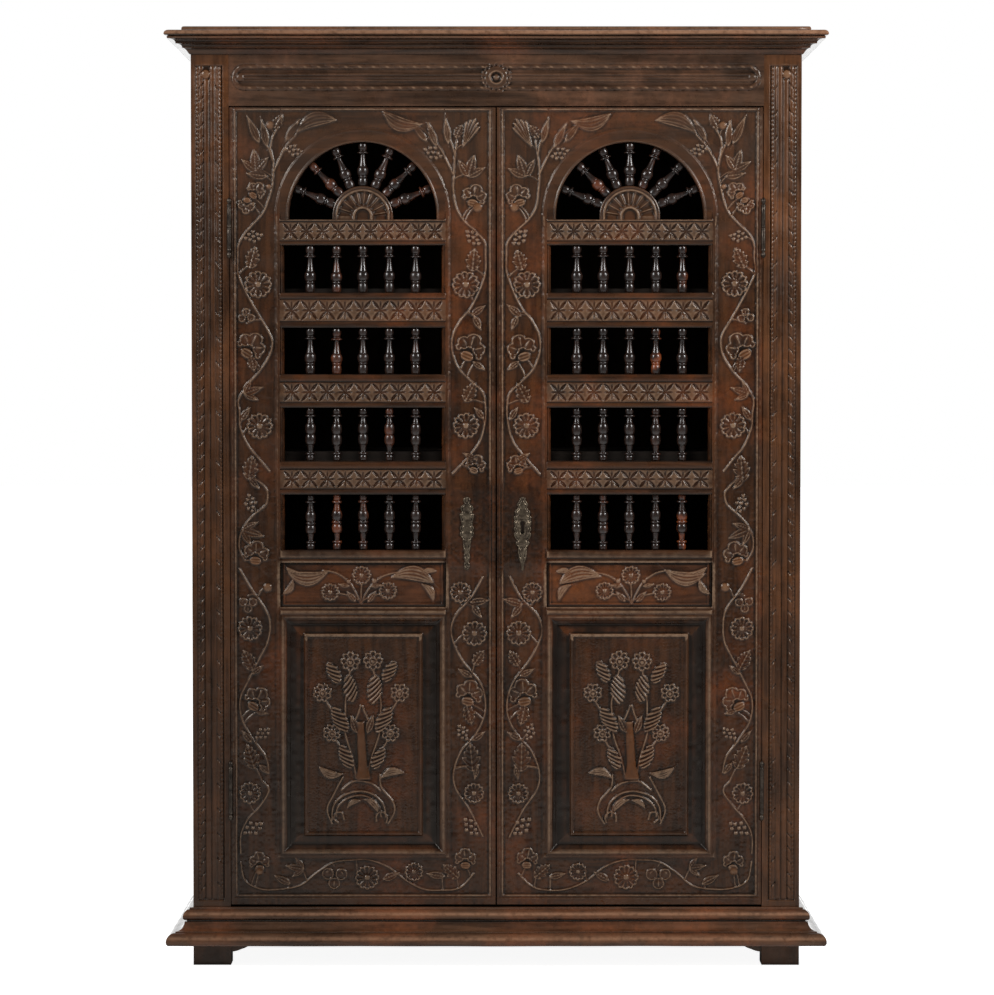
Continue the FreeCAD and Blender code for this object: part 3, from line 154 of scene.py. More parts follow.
# Half widths of the escutcheons from the foot up, as pairs of shares
LEFT_PLATE = (
    0, 0.03, 0.015, 0.28, 0.04, 0.4, 0.08, 0.42, 0.115, 0.3, 0.13, 0.28, 0.16, 0.42, 0.2, 0.46, 0.24, 0.38,
    0.27, 0.42, 0.34, 0.54, 0.41, 0.6, 0.44, 0.68, 0.47, 0.92, 0.5, 1, 0.535, 0.88, 0.56, 0.98, 0.59, 0.94,
    0.61, 0.74, 0.66, 0.82, 0.72, 0.96, 0.76, 1, 0.785, 0.7, 0.81, 0.82, 0.845, 0.9, 0.88, 0.72, 0.9, 0.4,
    0.92, 0.42, 0.95, 0.52, 0.98, 0.38, 1, 0.03,
)
RIGHT_PLATE = (
    0, 0.03, 0.02, 0.14, 0.06, 0.12, 0.1, 0.2, 0.15, 0.36, 0.21, 0.46, 0.27, 0.52, 0.31, 0.46, 0.34, 0.62,
    0.375, 0.78, 0.41, 0.66, 0.45, 0.84, 0.485, 0.96, 0.52, 0.82, 0.56, 0.98, 0.6, 0.86, 0.64, 1,
    0.68, 0.88, 0.72, 0.98, 0.755, 0.74, 0.79, 0.86, 0.83, 0.62, 0.86, 0.5, 0.89, 0.62, 0.93, 0.44,
    0.96, 0.3, 0.98, 0.34, 1, 0.03,
)


# Shares and distances

def unit(values):
    return np.clip(values, 0, 1)


def step(distance, width):
    """Rises from 0 to 1 over a width round a distance of 0."""
    return unit(distance / width + 0.5)


def bump(distance, width):
    return np.exp(-(distance / width) ** 2)


def dome(share):
    """Height of a half circle of radius 1."""
    return np.sqrt(unit(1 - share ** 2))


def eased(share):
    return share * share * (3 - 2 * share)


def mixed(first, second, share):
    return first * (1 - share) + second * share


def bilinear(values, j, i, b, a):
    low, high = (mixed(values[row, i], values[row, i + 1], a) for row in (j, j + 1))
    return mixed(low, high, b)


def inset(x, z, x0, x1, z0, z1):
    """Distance inside a rectangle."""
    return minimum(minimum(x - x0, x1 - x), minimum(z - z0, z1 - z))


def spaced(edges, pitch=1.6):
    """Grid lines through every edge, about a pitch apart."""
    lines = [linspace(a, b, max(2, round((b - a) / pitch)) + 1)[:-1] for a, b in zip(edges, edges[1:])]
    return concatenate(lines + [[edges[-1]]])


def smooth_line(points, pitch):
    """Points along a smooth curve through the given ones."""
    p = np.asarray([points[0], *points, points[-1]], float)
    out = []
    for a, b, c, d in zip(p, p[1:], p[2:], p[3:]):
        count = max(2, int(hypot(*(c - b)) / pitch))
        t = (np.arange(count) / count)[:, None]
        out.append(0.5 * (2 * b + (c - a) * t + (2 * a - 5 * b + 4 * c - d) * t ** 2
                          + (3 * b - a - 3 * c + d) * t ** 3))
    return vstack(out + [p[-1:]])


def blur(values, reach):
    """Mean over a square of 2 * reach + 1 samples a side."""
    width = 2 * reach + 1
    for _ in range(2):
        total = np.cumsum(np.pad(values, ((reach + 1, reach), (0, 0)), mode="edge"), axis=0)
        values = ((total[width:] - total[:-width]) / width).T
    return values


# Meshes

def grid(x, y, z):
    return stack(np.broadcast_arrays(x, y, z), axis=-1)


def at_depth(points, y):
    points = points.copy()
    points[..., 1] = y
    return points


class Shape:
    """Points and faces of one piece, with a relief and a tint at each point that steer its material."""

    def __init__(self):
        self.points, self.faces, self.smooth, self.relief, self.tint = [], [], [], [], []
        self.count = 0

    def add(self, points, faces, relief=0.0, tint=0.0, smooth=False):
        points = np.asarray(points, float).reshape(-1, 3)
        self.points.append(points)
        self.faces.append(np.asarray(faces, int) + self.count)
        self.smooth.append(np.full(len(faces), smooth))
        self.relief.append(np.broadcast_to(np.ravel(relief), len(points)))
        self.tint.append(np.broadcast_to(np.ravel(tint), len(points)))
        self.count += len(points)

    def sheet(self, points, relief=0.0, tint=0.0, smooth=True, flip=False):
        """A grid of points, seen counter-clockwise with columns to the right and rows upward."""
        rows, columns = points.shape[:2]
        first = (np.arange(rows - 1)[:, None] * columns + np.arange(columns - 1)).ravel()
        faces = stack([first, first + 1, first + columns + 1, first + columns], axis=1)
        relief = np.broadcast_to(relief, (rows, columns))
        self.add(points, faces[:, ::-1] if flip else faces, relief, tint, smooth)
        return points

    def cap(self, points, flip=False, tint=0.0):
        order = tuple(range(len(points)))
        self.add(points, [order[::-1] if flip else order], tint=tint)

    def wall(self, first, second, flip=False):
        """A strip between two lines of points."""
        self.sheet(stack([first, second]), smooth=False, flip=flip)

    def prism(self, ring, levels, axis, flip=False):
        """A solid from its outline in the two other axes, at levels along one axis."""
        closed = vstack([ring, ring[:1]])
        points = self.sheet(stack([np.insert(closed, axis, level, axis=1) for level in levels]),
                            smooth=False, flip=flip)
        self.cap(points[-1, :-1], flip)
        self.cap(points[0, :-1], not flip)

    def skirt(self, points, back):
        """Sides and back of a relief whose front is a sheet of points."""
        corners = []
        for edge in (points[0], points[:, -1], points[-1, ::-1], points[::-1, 0]):
            ends = at_depth(edge[[0, -1]], back)
            corners.append(ends[0])
            count = len(edge)
            middle = count // 2
            faces = [(i, count, i + 1) for i in range(middle)] + [(middle, count, count + 1)]
            faces += [(i, count + 1, i + 1) for i in range(middle, count - 1)]
            self.add(vstack([edge, ends]), faces, -0.2)
        self.add(corners[::-1], [(0, 1, 2, 3)], -0.2)


def made(name, body, material, slot, replaced, *fills, mirrored=False):
    """Builds a piece from fills: functions of its shape, each with what else it takes."""
    shape = Shape()
    for fill, *values in fills:
        fill(shape, *values)
    points, faces = concatenate(shape.points) / 1000, shape.faces
    if mirrored:
        points[:, 0] *= -1
        faces = [f[:, ::-1] for f in faces]
    loops = concatenate([f.ravel() for f in faces]).astype(np.int32)
    sizes = concatenate([np.full(len(f), f.shape[1]) for f in faces])
    mesh = bpy.data.meshes.new(name)
    mesh.vertices.add(len(points))
    mesh.vertices.foreach_set("co", points.ravel())
    mesh.loops.add(len(loops))
    mesh.loops.foreach_set("vertex_index", loops)
    mesh.polygons.add(len(sizes))
    mesh.polygons.foreach_set("loop_start", (np.cumsum(sizes) - sizes).astype(np.int32))
    mesh.update(calc_edges=True)
    mesh.polygons.foreach_set("use_smooth", concatenate(shape.smooth))
    for label, values in (("relief", shape.relief), ("tint", shape.tint)):
        mesh.attributes.new(label, "FLOAT", "POINT").data.foreach_set("value", concatenate(values))
    mesh.materials.append(material)
    obj = bpy.data.objects.new(name, mesh)
    scene.collection.objects.link(obj)
    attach(obj, body)
    if replaced:
        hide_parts(*replaced)


class Field:
    """Heights in front of the face, in millimetres, over a grid of x and z."""

    def __init__(self, xs, zs):
        self.xs, self.zs = xs, zs
        self.x, self.z = np.meshgrid(xs, zs)
        self.h, self.tint, self.shine = np.zeros((3, *self.x.shape))

    def part(self, x0, x1, z0, z1):
        """Index of the grid's points in a rectangle."""
        return np.ix_(*((lines > low - 0.01) & (lines < high + 0.01)
                        for lines, low, high in ((self.zs, z0, z1), (self.xs, x0, x1))))

    def window(self, x, z, reach):
        """Index of the grid's points round a place, and their distances from it."""
        part = (slice(*np.searchsorted(self.zs, (z - reach, z + reach))),
                slice(*np.searchsorted(self.xs, (x - reach, x + reach))))
        return part, self.x[part] - x, self.z[part] - z

    def put(self, mask, height):
        self.h = where(mask, height, self.h)

    def stem(self, points, half_width, top):
        for x, z in smooth_line(points, 1.4):
            part, u, v = self.window(x, z, half_width * 1.6)
            self.h[part] = maximum(self.h[part], top - 3.2 * (hypot(u, v) / half_width) ** 2)

    def stamp(self, kind, x, z, size, turn, lift=0.0, depth=1.0, tint=0.0, shine=0.0):
        part, u, v = self.window(x, z, size * 1.25)
        c, s = cos(radians(turn)), sin(radians(turn))
        motif, *values = MOTIF_KINDS[kind]
        height, inside = motif(u * c + v * s, v * c - u * s, size, *values)
        cover = unit(inside / 1.7 + 0.5)
        for layer, new in ((self.h, lift + depth * height), (self.tint, tint), (self.shine, shine)):
            layer[part] = mixed(layer[part], new, cover)

    def carve(self, inside, stems, motifs, half_width, top, lift, depth, shines, other, rng):
        """Stems and motifs that stay inside a mask."""
        before = self.h.copy()
        for points in stems:
            self.stem(points, half_width, top)
        for kind, x, z, size, turn in motifs:
            self.stamp(kind, x, z, size, turn + rng.uniform(-4, 4), lift, depth,
                       tint=0.6 if kind == "vase" else 0.0, shine=shines.get(kind, other))
        self.h = where(inside, self.h, before)

    def uneven(self, spacing, amount, rng):
        """Soft hand-planed unevenness."""
        i, j = ((lines - lines[0]) / spacing for lines in (self.xs, self.zs))
        lattice = rng.uniform(-1, 1, [int(np.ptp(lines) / spacing) + 3 for lines in (self.zs, self.xs)])
        a, b = eased(i % 1), eased(j % 1)[:, None]
        self.h += amount * bilinear(lattice, j.astype(int)[:, None], i.astype(int), b, a)

    def finish(self):
        """Relief is the height against its neighbourhood: negative in hollows, positive on ridges. The
        material paints shade where it is negative and wear with highlight where it is positive; shine is
        added to it as painted highlight, and a negative shine as painted shade.
        """
        self.relief = (self.h - blur(self.h, 3)) + 0.6 * (self.h - blur(self.h, 9)) + self.shine

    def sample(self, x, z):
        """Height, relief and tint between the grid's points."""
        at = []
        for lines, values in ((self.zs, z), (self.xs, x)):
            i = np.clip(np.searchsorted(lines, values) - 1, 0, len(lines) - 2)
            at.append((i, unit((values - lines[i]) / (lines[i + 1] - lines[i]))))
        (j, b), (i, a) = at
        return [bilinear(values, j, i, b, a) for values in (self.h, self.relief, self.tint)]

    def board(self, shape, x0, x1, z0, z1, back):
        """A board whose front is the field in a rectangle."""
        part = self.part(x0, x1, z0, z1)
        points = grid(self.x[part], FRONT - self.h[part], self.z[part])
        shape.skirt(shape.sheet(points, self.relief[part], self.tint[part]), back)


# Carved motifs: height, and distance inside the outline, in millimetres

def along(u, size):
    """Share of the way from a motif's foot to its tip."""
    return unit((u + size) / (2 * size))


def line_ridge(u, v, start, end, width):
    """A ridge along a straight line."""
    du, dv = end[0] - start[0], end[1] - start[1]
    share = unit(((u - start[0]) * du + (v - start[1]) * dv) / (du * du + dv * dv))
    return bump(hypot(u - start[0] - share * du, v - start[1] - share * dv), width)


def petals(u, v, size, count, notch, power, hollow_power, start, rim):
    """Distance from the middle, distance inside the edge and hollow of a flower's petals."""
    r = hypot(u, v)
    share = abs(np.cos(count * arctan2(v, u)))
    inside = size * (1 - notch + notch * share ** power) - r
    return r, inside, share ** hollow_power * step(r - start * size, 0.2 * size) * step(inside - rim, 1.6)


def rosette(u, v, size):
    r, inside, hollow = petals(u, v, size, 6, 0.14, 0.8, 0.45, 0.3, 2.6)
    height = 0.2 - 3.9 * hollow + 0.8 * bump(inside - 1.6, 1.2) - 1.5 * bump(r - 0.25 * size, 0.06 * size)
    return where(r < 0.2 * size, -0.6 + 1.4 * dome(r / (0.2 * size)), height), inside


def bloom(u, v, size):
    """An open flower seen half from the side: scallops round a small button."""
    _, inside, hollow = petals(u, v, size, 4, 0.24, 0.7, 0.5, 0.36, 2.4)
    middle = hypot(u + 0.1 * size, v)
    low, button = 0.42 * size - middle, 0.2 * size - middle
    height = where(low > 0, -2.4 + 3.0 * bump(low - 1.4, 1.2), 0.6 - 4.4 * hollow)
    return where(button > 0, -0.6 + 0.28 * button, height), inside


def blade(u, v, size, width, notch, notch_pitch, vein, point=1.0):
    """A leaf along u with a midrib and slanting veins."""
    half = width * size * np.sin(pi * along(u, size) ** 0.8) ** point
    slant = u - 0.75 * abs(v)
    half = half * (1 - notch + notch * abs(np.cos(pi * slant / notch_pitch)))
    inside = minimum(half - abs(v), size - abs(u))
    height = -2.1 + 1.9 * bump(inside - 1.2, 1.1) + 2.1 * bump(v, 1.2)
    height += vein * np.cos(2 * pi * slant / (notch_pitch * 0.72)) * step(inside - 2, 2)
    return height, inside


def lobed(u, v, size):
    return blade(u, v, size, 0.66, 0.42, 0.52 * size, 0.6, 0.8)


def lily(u, v, size):
    """A slender pointed leaf with lengthwise lines."""
    half = 0.25 * size * np.sin(pi * along(u, size) ** 0.7) ** 1.2
    inside = half - abs(v)
    share = abs(v) / maximum(half, 0.5)
    return -1.9 + 1.9 * bump(inside - 1.1, 1.0) + 1.9 * bump(v, 1.0) + 1.2 * bump(share - 0.5, 0.14), inside


def comb(u, v, size, lean):
    """A leaf cut as slanting rounded strokes, leaning to one side."""
    stroke = abs(np.sin(pi * (0.66 * u - 0.75 * lean * v - 0.012 * v * v) / 7.6))
    half = 0.52 * size * np.sin(pi * along(u, size) ** 0.9) ** 0.5 * (0.72 + 0.28 * stroke)
    return -3.2 + 4.4 * stroke ** 1.2, minimum(half - abs(v), size - abs(u))


def frond(u, v, size):
    """Long strokes that spread from the foot."""
    r, angle = hypot(u + size, v), arctan2(v, u + size)
    stroke = abs(np.cos(pi * angle / 0.13))
    inside = minimum((0.32 - abs(angle)) * r, size * (1.7 + 0.22 * stroke - 1.2 * abs(angle)) - r)
    return -2.3 + 2.6 * stroke ** 0.8, inside


def wheel(u, v, size):
    """Rings round a small button, with scallops outside."""
    r = hypot(u, v) / size
    scallop = abs(np.cos(8 * arctan2(v, u)))
    height = -1.0 + 1.8 * bump(r - 0.43, 0.06) - 3.4 * bump(r - 0.27, 0.08) + 1.2 * bump(r, 0.09)
    height -= 2.4 * scallop ** 0.6 * step(r - 0.74, 0.06) * step(0.93 - r, 0.06)
    return height, size * (0.9 + 0.1 * scallop - r)


def wing(u, v, size):
    """A curved leaf with long lines that end in a ragged tip."""
    bent = v + 0.35 * size * (u / size) ** 2 - 0.12 * size
    half = 0.34 * size * np.sin(pi * along(u, size) ** 1.15) ** 0.75
    pitch = 0.5 if size > 25 else 0.66
    lines = abs(np.cos(pi * bent / maximum(half, 0.6) / pitch))
    return -2.2 + 2.8 * lines ** 0.5, half - abs(bent)


def vase(u, v, size):
    t = along(u, size)
    half = size * (0.165 - 0.035 * t + 0.07 * bump(t - 0.05, 0.14))
    return -2.6 + 3.4 * dome(v / maximum(half, 0.5)), minimum(half - abs(v), size - abs(u))


def lobes_inside(u, v, size, lobes):
    return np.max([radius * size - hypot(u - cu * size, v - cv * size) for cu, cv, radius in lobes], axis=0)


def trefoil(u, v, size):
    """A broad leaf with rounded lobes, a crisp rim and veins from its foot."""
    lobes = ((0.5, 0, 0.42), (-0.15, 0.48, 0.42), (-0.15, -0.48, 0.42))
    inside = lobes_inside(u, v, size, lobes)
    height = -2.7 + 3.0 * bump(inside - 1.3, 1.2) + 1.2 * step(inside - 7, 6)
    for cu, cv, _ in lobes:
        vein = line_ridge(u, v, (-0.75 * size, 0), (cu * size * 1.5, cv * size * 1.25), 1.1)
        height += 1.7 * vein * step(inside - 2, 2)
    return height, inside


def flower(u, v, size):
    """A blossom leaf that hangs over its cup like a hood."""
    inside = lobes_inside(u, v, size, ((0.42, 0.0, 0.5), (0.1, 0.52, 0.42), (0.06, -0.52, 0.42),
                                       (-0.3, 0.72, 0.2), (-0.34, -0.7, 0.22)))
    inside = minimum(inside, hypot((u + 0.62 * size) * 0.9, v) - 0.36 * size)
    height = -2.6 + 3.2 * bump(inside - 1.4, 1.3) + 1.3 * step(inside - 7, 6)
    for eu, ev in ((0.72, 0.1), (0.3, 0.7), (0.28, -0.68)):
        vein = line_ridge(u, v, (-0.25 * size, 0), (eu * size, ev * size), 1.2)
        height += 2.0 * vein * step(inside - 1, 2)
    return height, inside


def cup(u, v, size):
    """A curled cup with ridges across it."""
    inside = size * (1 - hypot(u / (0.72 * size), v / size)) * 0.8
    return -1.6 + 2.0 * abs(np.cos(pi * u / (0.5 * size))) + 0.8 * bump(inside - 1, 1), inside


def merged(parts):
    height, inside = parts[0]
    for other, other_inside in parts[1:]:
        height = where(other_inside > inside, other, height)
        inside = maximum(inside, other_inside)
    return height, inside


def sheaf(u, v, size, foot, spread, side_share, *values):
    """Three blades from one foot."""
    parts = []
    reach = u + foot * size
    for turn, share in ((-spread, side_share), (spread, side_share), (0.0, 0.95)):
        a, b = reach * cos(turn) + v * sin(turn), v * cos(turn) - reach * sin(turn)
        parts.append(blade(a - size * share, b, size * share, *values))
    return merged(parts)


def balls(u, v, size, radius, places):
    parts = []
    for cu, cv in places:
        r = hypot(u - cu * size, v - cv * size)
        parts.append((-3.4 + 4.0 * dome(r / (radius * size)), radius * size - r))
    return merged(parts)


CLUSTER = ((0, 0), (0.55, 0.1), (-0.5, -0.25), (0.1, 0.55), (-0.05, -0.6), (0.55, -0.45), (-0.45, 0.4),
           (0.95, -0.1), (-0.95, 0.05))
MOTIF_KINDS = {
    "rosette": (rosette,), "bloom": (bloom,), "lobed": (lobed,), "lily": (lily,), "frond": (frond,),
    "wheel": (wheel,), "wing": (wing,), "vase": (vase,), "trefoil": (trefoil,), "flower": (flower,),
    "cup": (cup,), "leaf": (blade, 0.4, 0.0, 9.0, 0.5), "comb": (comb, 1), "comb_back": (comb, -1),
    "lotus": (sheaf, 0.9, 0.8, 0.8, 0.42, 0.0, 9.0, 0.5, 0.9), "berry": (balls, 1, ((0, 0),)),
    "spray": (sheaf, 1.0, 0.75, 0.75, 0.36, 0.0, 8.0, 0.4), "berries": (balls, 0.2, CLUSTER),
}
PANEL_SHINES = {"vase": -0.6, "comb": 0.3, "comb_back": 0.3, "wing": 0.8, "bloom": 0.8}


# The doors' carved faces

def chip_band(field, x0, x1, z0, z1, level, count):
    """A row of stars, each of eight petals cut as hollow wedges, with lines left between them."""
    part = field.part(x0, x1, z0, z1)
    u = ((field.x[part] - x0) / ((x1 - x0) / count) % 1) * 2 - 1
    v = (field.z[part] - z0) / ((z1 - z0) / 2) - 1
    deepest = np.zeros(u.shape)
    for turn, depth in enumerate((3.6, 4.8, 2.8, 4.8) * 2):
        reach, width = ((0.86, 0.18), (1.3, 0.24))[turn % 2]
        c, s = cos(turn * pi / 4), sin(turn * pi / 4)
        length = u * c + v * s
        half = width * np.sin(pi * unit(length / reach) ** 0.9) ** 0.8
        wedge = unit(1 - abs(v * c - u * s) / maximum(half, 0.001)) * (length > 0)
        deepest = maximum(deepest, depth * wedge)
    field.h[part] = level + 0.7 - deepest


def gallery_rail(field, z0, z1, band0, band1, stars):
    """A rail with a round nose over its chip-cut band and a low swell under it."""
    part = field.part(LEFT, RIGHT, z0, z1)
    z = field.z[part]
    nose = dome((z - (z1 + band1 + 2) / 2) / ((z1 - band1 - 2) / 2 + 0.6))
    swell = dome((z - (band0 + z0) / 2 - 1) / ((band0 - z0) / 2 + 1.5))
    height = where(z > band1 + 1, -2.2 + 3.6 * nose, -0.4)
    height = where(z < band0 - 1, -2.4 + 2.2 * swell, height)
    field.h[part] = height - 1.6 * bump(z - band1 - 1.5, 1.2) - 1.6 * bump(z - band0 + 1.5, 1.2)
    chip_band(field, LEFT + 5, RIGHT - 5, band0, band1, -1.2, stars)


def arch_profile(radius):
    """Height of the band round the arch: a flat hollow between two thin ridges."""
    height = -0.8 + 2.6 * bump(radius - ARCH_RADIUS - 2.6, 1.9) + 0.9 * bump(radius - BAND_RADIUS + 2.6, 2.2)
    return height - 1.5 * step(radius - BAND_RADIUS + 0.2, 1.6)


# Painted highlight on the band's two thin ridges, darker colour in its flat hollow.
def arch_relief(radius):
    return 2.0 * bump(radius - ARCH_RADIUS - 2.6, 1.9) + 0.4 * bump(radius - BAND_RADIUS + 2.6, 1.9) - 0.5


def door_field(seed):
    rng = np.random.default_rng(seed)
    z_edges = [DOOR_BOTTOM, PANEL_BOTTOM, PANEL_TOP, TABLET_BOTTOM, SILL_BOTTOM, SILL_TOP]
    z_edges += [z for rail in RAILS for z in rail[:2]] + [DOOR_TOP]
    field = Field(spaced([DOOR_OUTER, LEFT, RIGHT, DOOR_INNER]), spaced(z_edges))
    x, z = field.x, field.z

    # Sunk ground between the border and the galleries, with thin beads along it
    outer = inset(x, z, -553, -15, 151, 1822)
    gallery = -inset(x, z, -465, -102.5, 232, SPRING)
    arch = hypot(x - MIDDLE, z - SPRING)
    inner = minimum(gallery, arch - BAND_RADIUS + 5)
    plain = step(92 - abs(z - 938), 30) * (x > -200)
    field.h -= 3.2 * minimum(step(outer - 0.5, 2.2), step(inner - 3, 6)) * (1 - plain)
    beads = 0.9 * bump(outer + 2.2, 1.4) - 1.2 * bump(outer + 4.9, 1.1) + 0.8 * bump(outer + 7.6, 1.4)
    field.h += where(minimum(outer, inner) < 2, beads, 0)
    field.h -= where(z > 240, 0.7 * bump(gallery + 2.4, 1.6), 0)
    field.uneven(5, 0.35, rng)

    # Vine: stems, a stalk from each motif to the nearest stem, then the motifs
    lines = []
    for points in STEMS:
        points = points + rng.uniform(-1.2, 1.2, points.shape)
        field.stem(points, 2.3, 0.1)
        lines.append(smooth_line(points, 4))
    vine = vstack(lines)
    for _, mx, mz, size, turn in MOTIFS:
        foot = array([mx - 0.8 * size * cos(radians(turn)), mz - 0.8 * size * sin(radians(turn))])
        root = vine[np.argmin(hypot(*(vine - foot - (0, -12)).T))]
        if hypot(*(foot - root)) < 60:
            field.stem([root, (foot + root) / 2 + (0, 3), foot], 1.8, -0.3)
    for kind, mx, mz, size, turn in MOTIFS:
        mx, mz = mx + rng.uniform(-1, 1), mz + rng.uniform(-1, 1)
        size, turn = size * rng.uniform(1.02, 1.12), turn + rng.uniform(-6, 6)
        field.stamp(kind, mx, mz, size, turn, 0.1, 0.9, 0.6 if kind == "berry" else 0.0,
                    1.3 if kind == "berries" else 0.3)
        if kind == "flower":
            back = 0.62 * size
            field.stamp("cup", mx - back * cos(radians(turn)), mz - back * sin(radians(turn)), 0.42 * size,
                        turn, 0.2, 0.9, rng.uniform(0.1, 0.8), 0.4)

    # Arch band, gallery rails, sill and panel rail
    field.put((arch < BAND_RADIUS + 1) & (z > SPRING - 20), arch_profile(arch))
    for rail in RAILS:
        gallery_rail(field, *rail)
    column = (x >= LEFT) & (x <= RIGHT)
    for z0, z1, split, side, middle, radius, low, swell, ledge, at, width in (
            (SILL_BOTTOM, SILL_TOP, 871, 1, 879.5, 9.2, -0.4, 3.6, -1.0, 865, 3),
            (PANEL_TOP, TABLET_BOTTOM - 0.01, 760, -1, 755, 5.6, -0.6, 3.4, -1.2, 764, 2.4)):
        nose = low + swell * dome((z - middle) / radius)
        field.put(column & (z >= z0) & (z <= z1),
                  where(side * (z - split) > 0, nose, ledge + 0.9 * bump(z - at, width)))

    # Carved tablet
    tablet = column & (z >= TABLET_BOTTOM) & (z <= SILL_BOTTOM)
    rim = inset(x, z, -452, -115, 773, 870)
    field.put(tablet, -6.0 + 1.8 * bump(rim, 1.5) + 0.5 * step(-rim, 2))
    field.carve(tablet, TABLET_STEMS, TABLET_MOTIFS, 2.1, -2.8, -3.0, 0.85, {"wing": 1.3}, 0.5, rng)

    # Framed panel: mitred moulding, bevel, carved field with punched ground
    panel = column & (z >= PANEL_BOTTOM) & (z <= PANEL_TOP)
    edge = inset(x, z, LEFT, RIGHT, PANEL_BOTTOM, PANEL_TOP)
    deep = inset(x, z, -410, -157.5, 277, 710)
    profile = where(edge < 9, 1.0 + 1.8 * bump(edge - 4, 3.2) - 1.5 * bump(edge - 8.5, 1.3),
                    0.5 - 10.5 * unit((edge - 9) / 11) ** 0.7)
    profile = where(edge > 20, -12.5 + 5.0 * unit((edge - 20.5) / 19), profile)
    profile = mixed(profile, -1.6, step(deep - 0.6, 2.4))
    profile += where(deep > 0, -3.2 * step(deep - 7.5, 2.2) + 0.7 * bump(deep - 4.5, 1.4), 0)
    field.put(panel, profile)
    punched = rng.uniform(-1, 1, field.h.shape)
    field.h -= where(panel & (deep > 9), 1.3 * unit(punched - 0.35), 0)
    field.carve(panel & (deep > 5), PANEL_STEMS, PANEL_MOTIFS, 2.2, -1.2, -0.9, 1.0, PANEL_SHINES, 0.6, rng)

    field.uneven(11, 0.3, rng)
    field.uneven(60, 0.5, rng)
    field.finish()
    relief = field.relief
    # The chip-cut bands take a lighter colour as painted highlight on their lines, and the rest of each rail
    # is darkened.
    for z0, z1, band0, band1, _ in RAILS:
        band = column & (z > band0) & (z < band1)
        relief = where(band, 0.5 * relief + 1.15, relief)
        relief -= where(column & (z >= z0) & (z <= z1) & ~band, 0.9, 0)
    relief = where((arch < BAND_RADIUS + 2.5) & (z > SPRING), arch_relief(arch), relief)
    # Painted light on the panel's frame: the side bevels get painted shade, and only the top edge of the
    # field keeps its full highlight.
    upright = minimum(x - LEFT, RIGHT - x) < minimum(z - PANEL_BOTTOM, PANEL_TOP - z)
    relief -= where(panel & (edge > 12) & (deep < 0), where(upright, 2.0, 0.3), 0)
    lit = where((z > 690) & ~upright, 1.0, 0.3)
    relief = where(panel & (deep > -1) & (deep < 9), lit * relief - 0.2, relief)
    relief = where(panel & (edge < 9), 0.6 * relief, relief)
    field.relief = relief - 1.3 * plain * step(inner - 4, 6)
    return field


def arch_board(shape, field):
    """The round-headed board, gridded along rays from the arch's centre to the board's edge."""
    half, rise = RIGHT - MIDDLE, DOOR_TOP - SPRING
    corner = arctan2(rise, half)
    angles = concatenate([linspace(0, corner, 96)[:-1], linspace(corner, pi - corner, 130)[:-1],
                          linspace(pi - corner, pi, 96)])[:, None]
    reach = minimum(half / maximum(abs(np.cos(angles)), 1e-9), rise / maximum(np.sin(angles), 1e-9))
    near = ARCH_RADIUS + (minimum(BAND_RADIUS + 1, reach) - ARCH_RADIUS) * linspace(0, 1, 24)
    far = near[:, -1:] + (reach - near[:, -1:]) * linspace(0, 1, 66)[1:]
    radius = np.hstack([near, far])
    x, z = MIDDLE + radius * np.cos(angles), SPRING + radius * np.sin(angles)
    for leg in (3.5, 7.0):
        x, z = (np.pad(values, ((1, 1), (0, 0)), "edge") for values in (x, z))
        z[[0, -1]] = SPRING - leg
    distance = hypot(x - MIDDLE, maximum(z - SPRING, 0))
    inside = unit((BAND_RADIUS + 2.5 - distance) / 1.5)
    height, relief, tint = field.sample(x, z)
    points = shape.sheet(grid(x, FRONT - mixed(height, arch_profile(distance), inside), z),
                         mixed(relief, arch_relief(distance), inside), tint, flip=True)
    edges = points[:, 0], points[:, -1]
    backs = [at_depth(edge, DOOR_BACK) for edge in edges]
    shape.wall(edges[0], backs[0])
    shape.wall(edges[1], backs[1], flip=True)
    shape.wall(*backs, flip=True)


def fan_hub(shape):
    """Half-round shell with a raised rim, flutes and a small half ring at its foot."""
    r, a = np.meshgrid(spaced([0, 16, 21, 53, HUB_RADIUS], 1.3), linspace(0, pi, 150))
    height = -3.0 - 5.0 * abs(np.cos(9.5 * a)) ** 0.8 * step(r - 24, 6) * step(52 - r, 3)
    height += 1.8 * bump(r - 56, 2.2) + 1.6 * bump(r - 61.5, 2.0) - 1.2 * bump(r - 59, 1.2)
    height += 2.0 * bump(r - 18.5, 2.4) - 3.6 * step(15 - r, 3)
    x, z = MIDDLE + r * np.cos(a), SPRING + r * np.sin(a)
    x, z, height = (np.pad(values, ((1, 1), (0, 0)), "edge") for values in (x, z, height))
    z[[0, -1]] -= 7
    points = shape.sheet(grid(x, FRONT - height, z), 1.5 * (height - blur(height, 4)), flip=True)
    back = at_depth(points[:, -1], THIN_BACK)
    shape.wall(points[:, -1], back, flip=True)
    shape.cap(back)


# Turned pieces: parts are kind, share of the length and two radii; each kind gives places and swell

